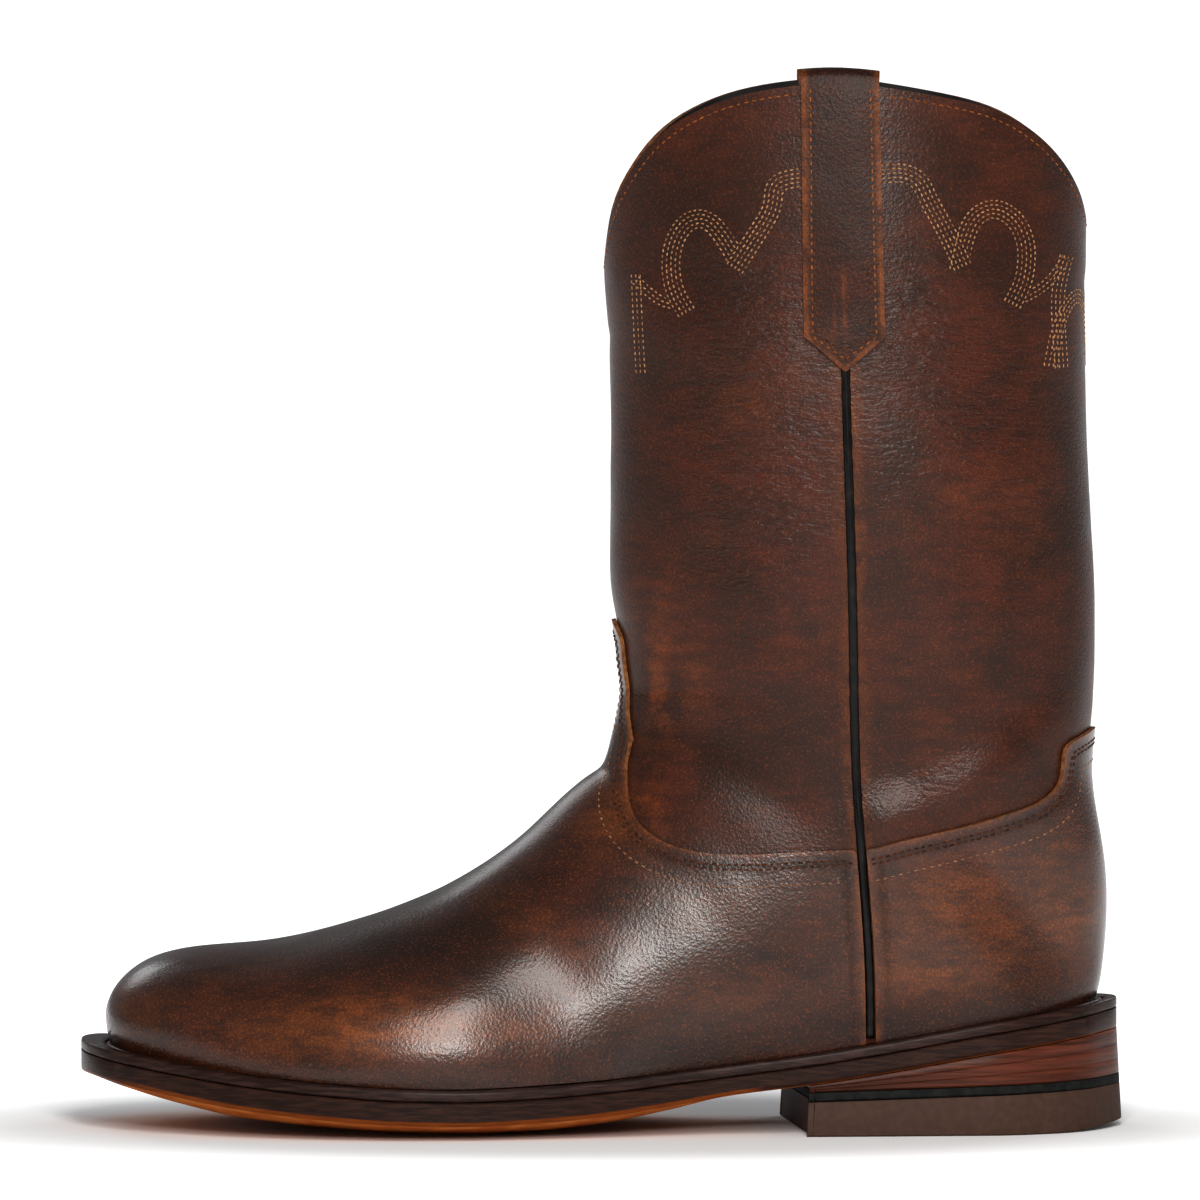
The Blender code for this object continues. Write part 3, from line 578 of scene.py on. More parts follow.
def grained(tree, shader, where, scale, detail, strength, depth):
    """Fine relief on a material."""
    grain = add_node(tree, "TexNoise", {"Vector": where, "Scale": scale, "Detail": detail})
    bump = add_node(tree, "Bump", {"Height": grain.outputs[0], "Strength": strength, "Distance": depth})
    tree.links.new(bump.outputs[0], shader.inputs["Normal"])


def mottled(name, roughness, cloud, codes, grain=None, **values):
    """A material clouded between two colours. Cloud: scale, detail, low and high. Grain: scale,
    detail, strength and depth."""
    material, tree, shader = new_material(name, roughness, **values)
    where = add_node(tree, "TexCoord").outputs["Object"]
    tone = tone_mix(tree, clouds(tree, where, *cloud), linear(codes[0]), linear(codes[1]))
    tree.links.new(tone, shader.inputs["Base Color"])
    if grain:
        grained(tree, shader, where, *grain)
    return material


def leather(name, deep, warm, amber, dark_tone_and_shade, roughness, gloss, blotch=1.0, grain=1.0):
    """Burnished leather: cloudy brown, darkened where its attributes say so, partly as painted shade, and
    rubbed warm where they say so.
    """
    material, tree, shader = new_material(name, roughness, Coat_Roughness=0.22, Specular_IOR_Level=0.12)
    where = add_node(tree, "TexCoord").outputs["Object"]
    tones = {
        tone: add_node(tree, "Attribute", attribute_name=tone).outputs["Fac"]
        for tone in ("amber", "dark_tone_and_shade", "red", "rub", "crinkle", "shine")
    }
    flat = add_node(tree, "Mapping", {"Vector": where, "Scale": (0.8, 0.8, 2.6)}).outputs[0]
    broad = clouds(tree, where, 42.0, 3.0, 0.27, 0.68, 0.5)
    fine = clouds(tree, flat, 130.0, 4.0, 0.38, 0.72)
    pores = add_node(tree, "TexNoise", {"Vector": where, "Scale": 1600.0, "Detail": 2.0}).outputs[0]
    patchy = ranged(tree, broad, 1.0, 1.0 - 0.55 * blotch)
    cloudy = ranged(tree, clouds(tree, where, 85.0, 4.0, 0.30, 0.72, 0.8), 1.0 - blotch, 1.0)
    worn = clouds(tree, where, 220.0, 2.0, 0.20, 0.70)
    body = tone_mix(tree, broad, linear(deep), linear(warm))
    for share, code in (
        (product(tree, tones["red"], broad), RED_BROWN),
        (product(tree, tones["dark_tone_and_shade"], patchy), dark_tone_and_shade),
        (product(tree, tones["amber"], cloudy), amber),
        (product(tree, fine, 0.55), dark_tone_and_shade),
        (product(tree, tones["rub"], worn), RUBBED),
        (ranged(tree, pores, 0.0, 0.45, 0.60, 0.36), dark_tone_and_shade),
        (ranged(tree, pores, 0.0, 0.32, 0.56, 0.76), amber),
    ):
        body = tone_mix(tree, share, body, linear(code))
    tree.links.new(body, shader.inputs["Base Color"])

    dull = ranged(tree, broad, roughness - 0.05, roughness + 0.07)
    polished = arithmetic(tree, "ADD", dull, product(tree, tones["shine"], -0.14))
    tree.links.new(polished, shader.inputs["Roughness"])
    tree.links.new(ranged(tree, tones["dark_tone_and_shade"], gloss, 0.25 * gloss), shader.inputs["Coat Weight"])
    pebbles = add_node(tree, "TexVoronoi", {"Vector": where, "Scale": 900.0, "Randomness": 1.0})
    crinkle = add_node(
        tree, "TexNoise", {"Vector": flat, "Scale": 300.0, "Detail": 3.0, "Distortion": 0.6},
    ).outputs[0]
    relief = add_node(tree, "Math", {
        0: pebbles.outputs["Distance"], 1: 0.07, 2: product(tree, pores, 0.10),
    }, operation="MULTIPLY_ADD").outputs[0]
    relief = add_node(tree, "Math", {
        0: crinkle, 1: product(tree, tones["crinkle"], 1.05), 2: relief,
    }, operation="MULTIPLY_ADD").outputs[0]
    bump = add_node(tree, "Bump", {"Height": relief, "Strength": 1.0, "Distance": 0.001 * grain})
    tree.links.new(bump.outputs[0], shader.inputs["Normal"])
    tree.links.new(bump.outputs[0], shader.inputs["Coat Normal"])
    return material


RED_BROWN = "4e2014"
RUBBED = "6e3c1a"
raw_edge = mottled("raw cut edge", 0.75, (600.0, 4.0, 0.35, 0.65), ("5e3b24", "7d5434"))
lining_dark = mottled(
    "black lining", 0.62, (90.0, 6.0, 0.3, 0.7), ("1b1a1a", "2c2b2b"), (1400.0, 4.0, 0.3, 0.0004),
)

# Shaft and lining: the tall front and back of the boot with its whole inner wall, one hollow body
# of leather 2.2 mm thick, lined in black. Vamp and counter are sewn over its foot, and the welt
# holds it below.
WALL = 0.0022
WALL_CREASE = math.radians(48)
PIPING_HALF = 0.0014
STRAP_REACH = 0.0845
STRAP_FOOT = BOOT_HEIGHT - STRAP_REACH


def piping_rub(places):
    """Rubbed borders on both sides of the side seam, below the strap."""
    gap = np.abs(places[:, 0] - seam_x(places[:, 2])) - PIPING_HALF
    rub = 0.70 * np.exp(-(np.maximum(gap, 0.0) / 0.0015) ** 2)
    return rub * (places[:, 2] < STRAP_FOOT + 0.004) * (np.abs(places[:, 1]) > 0.012)


def wall_of(piece, thickness, side, inner=0, rim=0):
    """Makes a sheet a solid leather, with material slots for its inner face and its cut edge."""
    wall = piece.modifiers.new("Wall", "SOLIDIFY")
    wall.thickness = thickness
    wall.offset = side
    wall.material_offset = inner
    wall.material_offset_rim = rim
    finish_modifiers(piece)
    piece.data.shade_smooth()
    bpy.ops.object.shade_smooth_by_angle(angle=WALL_CREASE)


shaft = new_piece("shaft_and_lining", skin.data.copy())
shaft_places = points_of(shaft.data)
under_vamp = vamp_field(shaft_places)
under_counter = counter_field(shaft_places)
seam_gap = np.minimum(np.abs(under_vamp), np.abs(under_counter))
store(shaft, "rub", np.maximum(piping_rub(shaft_places), 0.15 * np.exp(-(seam_gap / 0.002) ** 2)))
shaft_leather = leather("shaft leather", "311e16", "452317", "7d401b", "261a16", 0.39, 0.15, 1.0, 0.8)
for material in (shaft_leather, lining_dark, raw_edge):
    shaft.data.materials.append(material)
wall_of(shaft, WALL, -1, inner=1, rim=2)
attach(shaft, "root")
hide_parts("upper")

# Vamp and counter: the leathers round the foot and the heel, skived and laid over the shaft's
# foot, sewn down along their tops and held by the welt below. Their cut edges are left raw and
# tan.
OVERLAY = 0.0013
OVERLAY_GAP = 0.0002
overlays = {}
for name, field, deep, warm, node, seam_foot in (
    ("vamp_leather", vamp_field, "2d1b13", "422114", "vamp", 0.486),
    ("counter_leather", counter_field, "2b1811", "412113", "counter", 0.510),
):
    piece = new_piece(name, fine_skin.data.copy())
    cut_by(piece, field)
    seam_floor = HEEL_SEAT + INSTEP_HEIGHT * seam_foot
    edge_path = border(piece, lambda place: place.z > seam_floor)
    sheet_places = points_of(piece.data)
    sheet_normals = points_of(piece.data, "vertices", "normal")
    edge_gap = field(sheet_places)
    rub = np.maximum(piping_rub(sheet_places), 0.90 * np.exp(-(edge_gap / 0.0007) ** 2))
    store(piece, "rub", rub)
    # Painted shade in the sunk channel of the double stitching: a dark band 3 to 4.5 mm in from the edge,
    # added to the dark tone
    painted_groove_shade = 0.75 * np.exp(-((edge_gap - 0.0038) / 0.0012) ** 2)
    dark_tone_and_shade_layer = piece.data.attributes["dark_tone_and_shade"].data
    dark_tone_and_shade = np.empty(len(painted_groove_shade), np.float32)
    dark_tone_and_shade_layer.foreach_get("value", dark_tone_and_shade)
    dark_tone_and_shade_layer.foreach_set("value", np.maximum(dark_tone_and_shade, painted_groove_shade).astype(np.float32))
    sheet_places += sheet_normals * OVERLAY_GAP
    piece.data.vertices.foreach_set("co", sheet_places.ravel())
    piece.data.materials.append(leather(name, deep, warm, "904f20", "211613", 0.33, 0.60, 0.45, 0.5))
    piece.data.materials.append(raw_edge)
    wall_of(piece, OVERLAY, 1, rim=1)
    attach(piece, "root")
    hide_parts(node)
    overlays[node] = (piece, edge_path, field)

# Side piping: a black welt of folded leather let into the side seam, from under the strap's
# point down to the sole
PIPING_HEIGHT = 0.0017
PIPING_ROOT = 0.0006


def side_hit(tree, side, x, z):
    """Where a surface lies on one side of the boot at a point of the side view, and its normal."""
    hit = tree.ray_cast(Vector((x, side * Y_REACH, z)), Vector((0.0, -side, 0.0)))
    return (None, None) if hit[0] is None else (hit[0], hit[1])


def grid_faces(height, width, closed, looped=False, first=0):
    """Quads between rows of corners, which are numbered from the first on. Closed makes each row
    a ring, and looped joins the last row to the first one in place of end caps."""
    faces = []
    for row in range(height if looped else height - 1):
        low, high = first + row * width, first + (row + 1) % height * width
        for column in range(width if closed else width - 1):
            after = (column + 1) % width
            faces.append((low + column, low + after, high + after, high + column))
    if closed and not looped:
        last = first + (height - 1) * width
        faces.append(tuple(reversed(range(first, first + width))))
        faces.append(tuple(range(last, last + width)))
    return faces


def mesh_of(name, corners, faces):
    mesh = bpy.data.meshes.new(name)
    mesh.from_pydata([tuple(corner) for corner in corners], [], faces)
    return mesh


def grid_mesh(name, rows, closed, looped=False):
    """A mesh through rows of as many points each."""
    corners = [point for row in rows for point in row]
    return mesh_of(name, corners, grid_faces(len(rows), len(rows[0]), closed, looped))


def face_out(piece, crease=None):
    """Turns all faces outward and shades them smooth, but for edges sharper than the crease."""
    take_up(piece)
    bpy.ops.object.mode_set(mode="EDIT")
    bpy.ops.mesh.select_all(action="SELECT")
    bpy.ops.mesh.remove_doubles(threshold=0.000005)
    bpy.ops.mesh.normals_make_consistent(inside=False)
    bpy.ops.object.mode_set(mode="OBJECT")
    piece.data.shade_smooth()
    if crease:
        bpy.ops.object.shade_smooth_by_angle(angle=crease)


black_piping = mottled(
    "black piping", 0.40, (300.0, 5.0, 0.4, 0.75), ("0d0c0c", "1c1816"), (1200.0, 3.0, 0.3, 0.0003),
    Coat_Weight=0.15,
)
SIDES = {"lateral": -1, "medial": 1}
for side_name, side in SIDES.items():
    rows = []
    for height in np.linspace(STRAP_FOOT + 0.002, HEEL_SEAT - 0.010, 150):
        x = float(seam_x(height))
        ring = []
        for turn in np.linspace(0.0, math.pi, 9):
            across = -PIPING_HALF * math.cos(turn) * (1.0 + 0.04 * math.sin(height * 900))
            point = side_hit(skin_tree, side, x + across, max(height, HEEL_SEAT - 0.006))[0]
            out = -PIPING_ROOT + (PIPING_HEIGHT + PIPING_ROOT) * math.sin(turn) ** 0.7
            ring.append((x + across, point.y + side * out, height))
        rows.append(ring)
    welt_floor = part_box("side_piping_" + side_name)[0].z
    rows = [row for row in rows if row[0][2] > welt_floor]
    piping = new_piece("piping_" + side_name, grid_mesh("piping", rows, True))
    face_out(piping)
    piping.data.materials.append(black_piping)
    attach(piping, "root")
    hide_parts("side_piping_" + side_name)

# Pull straps: doubled leather 22 mm wide, sewn down outside to a point, looped over the collar
# and sewn down inside. Their raw edges are tan.
STRAP_WIDE_TOP = 0.0224
STRAP_WIDE_FOOT = 0.0235
STRAP_POINT = 0.0100
STRAP_THICK = 0.0020
STRAP_INSIDE = 0.0440
STRAP_BORDER = 0.0017
STRAP_GAP = 0.0003
STRAP_COLUMNS = 25
STRAP_DABS = {
    "amber": (
        (-22.8, 244, 0.7, 10, 2, 0.9), (-25.8, 240, 0.5, 7, -3, 0.5), (-27, 234, 4, 4, 0, 0.3),
        (-19, 300, 4, 3, 0, 0.3),
    ),
    "dark_tone_and_shade": ((-24, 268, 8, 26, 0, 0.55), (-25, 248, 5, 9, 0, 0.35)),
    "red": ((-20, 250, 8, 20, 0, 0.3), (-25, 302, 8, 8, 0, 0.3)),
}
# How far each strap's loop stands above the collar
STRAP_LOOPS = {"lateral": 0.0012, "medial": -0.0002}
collar_line = border(skin, lambda place: place.z > 0.2)


def collar_at(side, x):
    """Height of the collar on one side of the boot."""
    near = collar_line[collar_line[:, 1] * side > 0]
    near = near[np.argsort(near[:, 0])]
    return float(np.interp(x, near[:, 0], near[:, 2]))


def strap_half(height):
    share = clamped((BOOT_HEIGHT - height) / (STRAP_REACH - STRAP_POINT))
    half = (STRAP_WIDE_TOP + (STRAP_WIDE_FOOT - STRAP_WIDE_TOP) * share) / 2
    return 0.0004 + (half - 0.0004) * clamped((height - STRAP_FOOT) / STRAP_POINT)


strap_leather = leather("strap leather", "2a1812", "391e13", "743d1b", "1e1310", 0.46, 0.06, 0.8, 0.7)
straps = {}
for side_name, side in SIDES.items():
    near = WALL / 2 + STRAP_GAP
    rows, edges = [], []

    def strap_row(height, half, place):
        row, gaps = [], []
        for share in np.linspace(-1.0, 1.0, STRAP_COLUMNS):
            x = float(seam_x(height)) + half * share
            row.append(place(x, height))
            gaps.append(half * (1 - abs(share)))
        rows.append(row)
        return gaps

    def outside(x, height):
        point = side_hit(skin_tree, side, x, height)[0]
        return (x, point.y + side * STRAP_GAP, height)

    heights = STRAP_FOOT + np.concatenate([
        np.linspace(0.0, STRAP_POINT, 11), np.linspace(STRAP_POINT + 0.0015, 0.0785, 46),
    ])
    for height in heights:
        gaps = strap_row(height, strap_half(height), outside)
        if height < STRAP_FOOT + STRAP_POINT:
            gaps = [min(gap, gap * 0.66 + 0.0003) for gap in gaps]
        edges += gaps
    for turn in np.linspace(0.0, math.pi, 11):

        def over(x, height, turn=turn):
            probe = collar_at(side, x) - WALL
            middle = side_hit(skin_tree, side, x, probe)[0].y - side * WALL / 2
            top = collar_at(side, x) + STRAP_LOOPS[side_name] + near * math.sin(turn)
            return (x, middle + side * near * math.cos(turn), top)

        edges += strap_row(BOOT_HEIGHT, strap_half(BOOT_HEIGHT), over)

    def inside(x, height):
        point = side_hit(skin_tree, side, x, height)[0]
        return (x, point.y - side * (WALL + STRAP_GAP), height)

    for height in BOOT_HEIGHT - np.linspace(0.0060, STRAP_INSIDE, 24):
        edges += strap_row(height, STRAP_WIDE_TOP / 2, inside)
    strap = new_piece("strap_" + side_name, grid_mesh("strap", rows, False))
    edge_gaps = np.array(edges)
    store(strap, "rub", np.clip(1.15 * np.exp(-(edge_gaps / STRAP_BORDER) ** 4), 0.0, 1.0))
    strap_places = points_of(strap.data)
    for tone, dabs in STRAP_DABS.items():
        store(strap, tone, dab_values(strap_places, dabs))
    middle_face = strap.data.polygons[20 * (STRAP_COLUMNS - 1) + STRAP_COLUMNS // 2]
    if middle_face.normal.y * side < 0:
        strap.data.flip_normals()
    strap.data.materials.append(strap_leather)
    strap.data.materials.append(raw_edge)
    wall_of(strap, STRAP_THICK, 1, rim=1)
    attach(strap, "root")
    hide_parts("pull_strap_" + side_name)
    straps[side] = strap

# Seam stitching: two dark rows and one lighter row of waxed thread along the tops of the vamp
# and the counter. Each stitch is a low bead that dips into the leather at both ends.
BEAD_RINGS = ((-0.50, 0.25, -0.7), (-0.30, 0.90, 0.0), (0.30, 0.90, 0.0), (0.50, 0.25, -0.7))
BEAD_SIDES = 5


def thread(name, code, worn_code):
    material, tree, shader = new_material(name, 0.6)
    tone = add_node(tree, "Attribute", attribute_name="wear").outputs["Fac"]
    tree.links.new(tone_mix(tree, tone, linear(code), linear(worn_code)), shader.inputs["Base Color"])
    return material


def sew(name, runs, tree, thick, material, seed):
    """One piece of many stitches: runs are (path, pitch, stitch length, lift)."""
    draw = np.random.default_rng(seed)
    corners, faces, wear = [], [], []
    for path, pitch, length, lift in runs:
        marks = resampled(path, pitch)
        along = np.gradient(marks, axis=0)
        fade = draw.random()
        for mark, run in zip(marks, along):
            outward = tree["skin"].find_nearest(mark)[1]
            start = Vector(mark) + outward * 0.006
            hit = tree["top"].ray_cast(start, -outward, 0.012)
            if hit[0] is None:
                continue
            normal = np.array(hit[1])
            if normal @ np.array(outward) < 0:
                normal = -normal
            run = run - normal * (run @ normal)
            size = np.linalg.norm(run)
            if size < 1e-7:
                continue
            run = run / size
            run = run + np.cross(normal, run) * draw.normal(0.0, 0.10)
            across = np.cross(normal, run)
            centre = np.array(hit[0]) + normal * thick * lift
            long = length * (1 + draw.normal(0.0, 0.08))
            first = len(corners)
            for step, swell, dip in BEAD_RINGS:
                for spoke in range(BEAD_SIDES):
                    turn = 2 * math.pi * spoke / BEAD_SIDES
                    corners.append(
                        centre + run * step * long + across * thick * swell * math.cos(turn)
                        + normal * thick * (0.8 * swell * math.sin(turn) + dip)
                    )
            faces += grid_faces(len(BEAD_RINGS), BEAD_SIDES, True, first=first)
            wear += [clamped(0.35 * fade + draw.normal(0.3, 0.25))] * (len(corners) - first)
    piece = new_piece(name, mesh_of(name, corners, faces))
    store(piece, "wear", wear)
    face_out(piece)
    piece.data.materials.append(material)
    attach(piece, "root")
    return piece


# Stitches: pitch, length, lift out of the leather in shares of the thread
DARK_STITCH = (0.0021, 0.0015, 0.15)
LIGHT_STITCH = (0.0023, 0.0013, 0.05)
COLLAR_STITCH = (0.0024, 0.0015, 0.1)
WAVE_STITCH = (0.00165, 0.00112, 0.1)
STRAP_STITCH = (0.0023, 0.0014, 0.1)
WELT_STITCH = (0.0036, 0.0030, 0.2)
dark_thread = thread("dark brown thread", "2e1c14", "5a3520")
brown_thread = thread("brown thread", "8f6a4c", "6a4a34")
tan_thread = thread("tan thread", "a67f5c", "6f4d34")
rust_thread = thread("rust thread", "8f5326", "6b3c1c")

for node, (piece, edge_path, field) in overlays.items():
    trees = {"skin": skin_tree, "top": tree_of(piece)}
    for kind, insets, stitch, thick, material, seed in (
        ("_double_stitching", (0.0031, 0.0045), DARK_STITCH, 0.00034, dark_thread, 11),
        ("_single_stitching", (0.0095,), LIGHT_STITCH, 0.00026, brown_thread, 12),
    ):
        runs = [(inset_path(edge_path, inset, skin_tree, field), *stitch) for inset in insets]
        sew(node + kind, runs, trees, thick, material, seed)

# Collar stitching: one row of rust thread under the shaft's top edge, which binds the lining
COLLAR_INSET = 0.0024
shaft_trees = {"skin": skin_tree, "top": tree_of(shaft)}
collar_row = inset_path(collar_line, COLLAR_INSET, skin_tree, lambda points: -points[:, 2])
sew(
    "collar_stitching", [(collar_row, *COLLAR_STITCH)], shaft_trees, 0.00026, rust_thread,
    13,
)

# Shaft ornament: a plain wave in rows of tan thread, as boot shafts have long carried, alike on
# both sides. Each line: its rows of thread, the line whose band it stops at, and the points of
# its middle in the side view, x and z in mm.
WAVES = (
    (5, None, ((-33, 281.4), (-38, 281.2), (-43.4, 279.4), (-43.7, 272.7), (-46.1, 268.3), (-48.4, 264.8),
               (-54.6, 255.0))),
    (5, 0, ((-53.0, 254.6), (-57.0, 262.6), (-62.6, 269.4), (-68.2, 268.8), (-71.9, 264.0), (-73.5, 257.8),
            (-73.2, 251.4), (-71.8, 246.7), (-69.0, 242.0))),
    (5, None, ((-15, 281.8), (-11.3, 282.4), (-5.6, 282.9), (-0.8, 280.6), (2.0, 274.3), (5.4, 268.3),
               (8.2, 263.1), (11.6, 255.6))),
    (5, 2, ((10.6, 254.6), (12.6, 264.9), (15.9, 270.5), (21.5, 272.6), (27.6, 268.9), (30.6, 262.2),
            (30.7, 255.8), (29.6, 249.9), (26.6, 244.4))),
    (3, None, ((-83.6, 252.0), (-83.2, 243.0), (-82.9, 236.0), (-82.2, 224.0))),
    (3, 1, ((-70.0, 244.0), (-75.0, 244.2), (-79.0, 246.6), (-83.4, 250.6))),
    (4, None, ((42.6, 257.4), (40.2, 248.5), (40.0, 242.3), (40.5, 235.3), (41.2, 225.5))),
    (3, 3, ((28.0, 245.0), (34.6, 248.0), (39.0, 252.0), (42.4, 257.0))),
)
# The wave's arches round the back of the shaft: y and z in mm
BACK_WAVE = ((-25.0, 226.0), (-23.5, 236.0), (-19.0, 244.5), (-12.5, 246.5), (-6.0, 241.5), (-0.6, 226.0))
ROW_GAP = 0.00128


def shifted(line, sideways):
    """A flat line through points given in mm, shifted sideways."""
    flat = resampled(rounded(np.array(line) * MM), 0.0006)
    along = np.gradient(flat, axis=0)
    along /= np.linalg.norm(along, axis=1)[:, None]
    return flat + np.column_stack([-along[:, 1], along[:, 0]]) * sideways


def row_shifts(rows):
    return [(row - (rows - 1) / 2) * ROW_GAP for row in range(rows)]


def side_path(flat, side):
    """A line of the side view laid on one side of the shaft."""
    hits = [side_hit(skin_tree, side, x, z)[0] for x, z in flat]
    return np.array([hit for hit in hits if hit is not None])


def back_path(flat):
    hits = [skin_tree.ray_cast(Vector((Y_REACH, y, z)), Vector((-1.0, 0.0, 0.0)))[0] for y, z in flat]
    return np.array([hit for hit in hits if hit is not None])


for side_name, side in SIDES.items():
    runs = []
    for rows, stop, line in WAVES:
        for shift in row_shifts(rows):
            flat = shifted(line, shift)
            if stop is not None:
                stop_rows, _, stop_line = WAVES[stop]
                band = (stop_rows / 2 + 0.1) * ROW_GAP
                flat = flat[line_distance(flat, np.array(stop_line) * MM) > band]
            runs.append((side_path(flat, side), *WAVE_STITCH))
    for shift in row_shifts(4):
        runs.append((back_path(shifted(BACK_WAVE, shift) * (-side, 1)), *WAVE_STITCH))
    sew("wave_stitching_" + side_name, runs, shaft_trees, 0.00027, tan_thread, 21 + side)

    strap_trees = {"skin": skin_tree, "top": tree_of(straps[side])}

    def strap_path(inset, top):
        """A row of stitches round a strap's foot, set in from its edge, up to a height."""
        half = STRAP_WIDE_TOP / 2 - inset
        foot = STRAP_FOOT + STRAP_POINT
        wide = STRAP_WIDE_FOOT / 2 - inset
        line = [(-half, top), (-wide, foot), (0.0, STRAP_FOOT + 1.35 * inset), (wide, foot), (half, top)]
        line = resampled(np.array(line), 0.0008)
        line[:, 0] += seam_x(line[:, 1])
        return side_path(line, side)

    for kind, inset, top, material, seed in (
        ("strap_stitching_", 0.0026, 0.3065, rust_thread, 31),
        ("strap_foot_stitching_", 0.0042, 0.2560, dark_thread, 41),
    ):
        runs = [(strap_path(inset, top), *STRAP_STITCH)]
        sew(kind + side_name, runs, strap_trees, 0.00028, material, seed + side)

# Sole: its outline and heights from the rear (station 0) to the toe tip (station 1). Half widths
# are shares of half the ball's width and the rest of the sizes they are named for.
SOLE_LENGTH = 0.3064
BALL_WIDTH = 0.110
SOLE_SWING = 0.007
TREAD_EDGE_LIFT = 0.0044
TOE_SPRING = 0.0131
HEEL_RISE = 0.0250
TREAD_CROWN = 0.0049
OUTSOLE_THICKNESS = 0.0070
WELT_THICKNESS = 0.0030
FIT_GAP = 0.0003
REAR_X = 0.0587
SOLE_COLUMNS = ("half_width", "swing", "toe_rise", "heel_rise", "thickness", "crown")
SOLE_SECTIONS = (
    (0.000, 0.000, 0.57, 0.000, 1.000, 0.80, 0.00),
    (0.010, 0.210, 0.57, 0.000, 0.985, 0.80, 0.00),
    (0.034, 0.420, 0.50, 0.000, 0.945, 0.80, 0.00),
    (0.073, 0.565, 0.40, 0.000, 0.875, 0.80, 0.00),
    (0.125, 0.643, 0.25, 0.000, 0.780, 0.80, 0.00),
    (0.236, 0.645, -0.15, 0.000, 0.545, 0.79, 0.00),
    (0.302, 0.636, -0.40, 0.000, 0.424, 0.78, 0.00),
    (0.367, 0.655, -0.50, 0.000, 0.330, 0.76, 0.20),
    (0.432, 0.710, -0.50, 0.000, 0.200, 0.88, 0.60),
    (0.497, 0.800, -0.42, 0.000, 0.090, 0.96, 0.85),
    (0.563, 0.900, -0.25, 0.000, 0.028, 1.00, 1.00),
    (0.628, 0.973, -0.12, 0.000, 0.000, 1.00, 1.00),
    (0.693, 1.000, -0.05, 0.035, 0.000, 1.00, 1.00),
    (0.759, 0.982, 0.05, 0.135, 0.000, 1.00, 1.00),
    (0.840, 0.900, 0.30, 0.330, 0.000, 0.97, 1.00),
    (0.905, 0.764, 0.60, 0.565, 0.000, 0.90, 0.80),
    (0.954, 0.600, 0.82, 0.770, 0.000, 0.82, 0.50),
    (0.987, 0.364, 0.95, 0.935, 0.000, 0.74, 0.30),
    (1.000, 0.000, 1.00, 1.000, 0.000, 0.72, 0.20),
)


def turn_of(station):
    return math.acos(1 - 2 * clamped(station))


def smooth_values(points, at):
    """Values of a smooth curve through points that can't overshoot between them."""
    marks, values = points[:, 0], points[:, 1]
    secants = np.diff(values) / np.diff(marks)
    slopes = np.concatenate([secants[:1], np.zeros(len(values) - 2), secants[-1:]])
    paired = secants[:-1] * secants[1:] > 0
    total = np.where(paired, secants[:-1] + secants[1:], 1.0)
    slopes[1:-1] = np.where(paired, 2 * secants[:-1] * secants[1:] / total, 0.0)
    at = np.clip(at, marks[0], marks[-1])
    index = np.clip(np.searchsorted(marks, at, side="right") - 1, 0, len(marks) - 2)
    width = marks[index + 1] - marks[index]
    share = (at - marks[index]) / width
    bend = share * (1 - share)
    lean = slopes[index] * width * (1 - share) - slopes[index + 1] * width * share
    step = values[index + 1] - values[index]
    return values[index] + step * share * share * (3 - 2 * share) + bend * lean


sole_turns = np.array([turn_of(row[0]) for row in SOLE_SECTIONS])
sole_curves = {
    name: np.column_stack([sole_turns, [row[at] for row in SOLE_SECTIONS]])
    for at, name in enumerate(SOLE_COLUMNS, start=1)
}


def sole_share(turn, column):
    return float(smooth_values(sole_curves[column], np.array([turn]))[0])


def turn_at(x):
    return turn_of((REAR_X - x) / SOLE_LENGTH)


def centre_y(x):
    return SOLE_SWING * sole_share(turn_at(x), "swing")


def tread_edge(x):
    turn = turn_at(x)
    lift = TOE_SPRING * sole_share(turn, "toe_rise") + HEEL_RISE * sole_share(turn, "heel_rise")
    return TREAD_EDGE_LIFT + lift


def outsole_top(x):
    return tread_edge(x) + OUTSOLE_THICKNESS * sole_share(turn_at(x), "thickness")


def welt_top(x):
    return outsole_top(x) + FIT_GAP + WELT_THICKNESS


def sole_outline(turn, inset):
    """Point of the sole's outline, set in by an even distance: x and half width."""
    def plain(at):
        across = BALL_WIDTH / 2 * sole_share(at, "half_width")
        return np.array([REAR_X - SOLE_LENGTH * (1 - math.cos(at)) / 2, across])

    along = plain(turn + 0.01) - plain(turn - 0.01)
    outward = np.array([along[1], -along[0]]) / np.linalg.norm(along)
    x, across = plain(turn) - outward * inset
    return float(x), max(float(across), 0.0)


def ledge(turn):
    """Width of welt that shows outside the upper."""
    toe = max(0.0, -math.cos(turn)) ** 6
    heel = max(0.0, math.cos(turn)) ** 6
    return 0.0067 + (0.0094 - 0.0067) * toe + (0.0060 - 0.0067) * heel


END_TURN = 0.012
SOLE_CREASE = math.radians(35)
around = np.linspace(END_TURN, math.pi - END_TURN, 150)


def edge_leather(name, dark, light, raw, roughness):
    """Dressed sole edge: stained and waxed, with the lower arris left in the raw tan."""
    material, tree, shader = new_material(
        name, roughness, Coat_Weight=0.10, Coat_Roughness=0.28, Specular_IOR_Level=0.08,
    )
    where = add_node(tree, "TexCoord").outputs["Object"]
    fibres = add_node(tree, "Mapping", {"Vector": where, "Scale": (1.0, 1.0, 9.0)}).outputs[0]
    body = tone_mix(tree, clouds(tree, fibres, 130.0, 6.0, 0.35, 0.70), linear(dark), linear(light))
    bare = add_node(tree, "Attribute", attribute_name="bare").outputs["Fac"]
    tan = tone_mix(tree, clouds(tree, fibres, 160.0, 5.0, 0.3, 0.7), linear(raw), linear("6a330e"))
    tree.links.new(tone_mix(tree, bare, body, tan), shader.inputs["Base Color"])
    grained(tree, shader, fibres, 420.0, 6.0, 0.35, 0.0005)
    return material


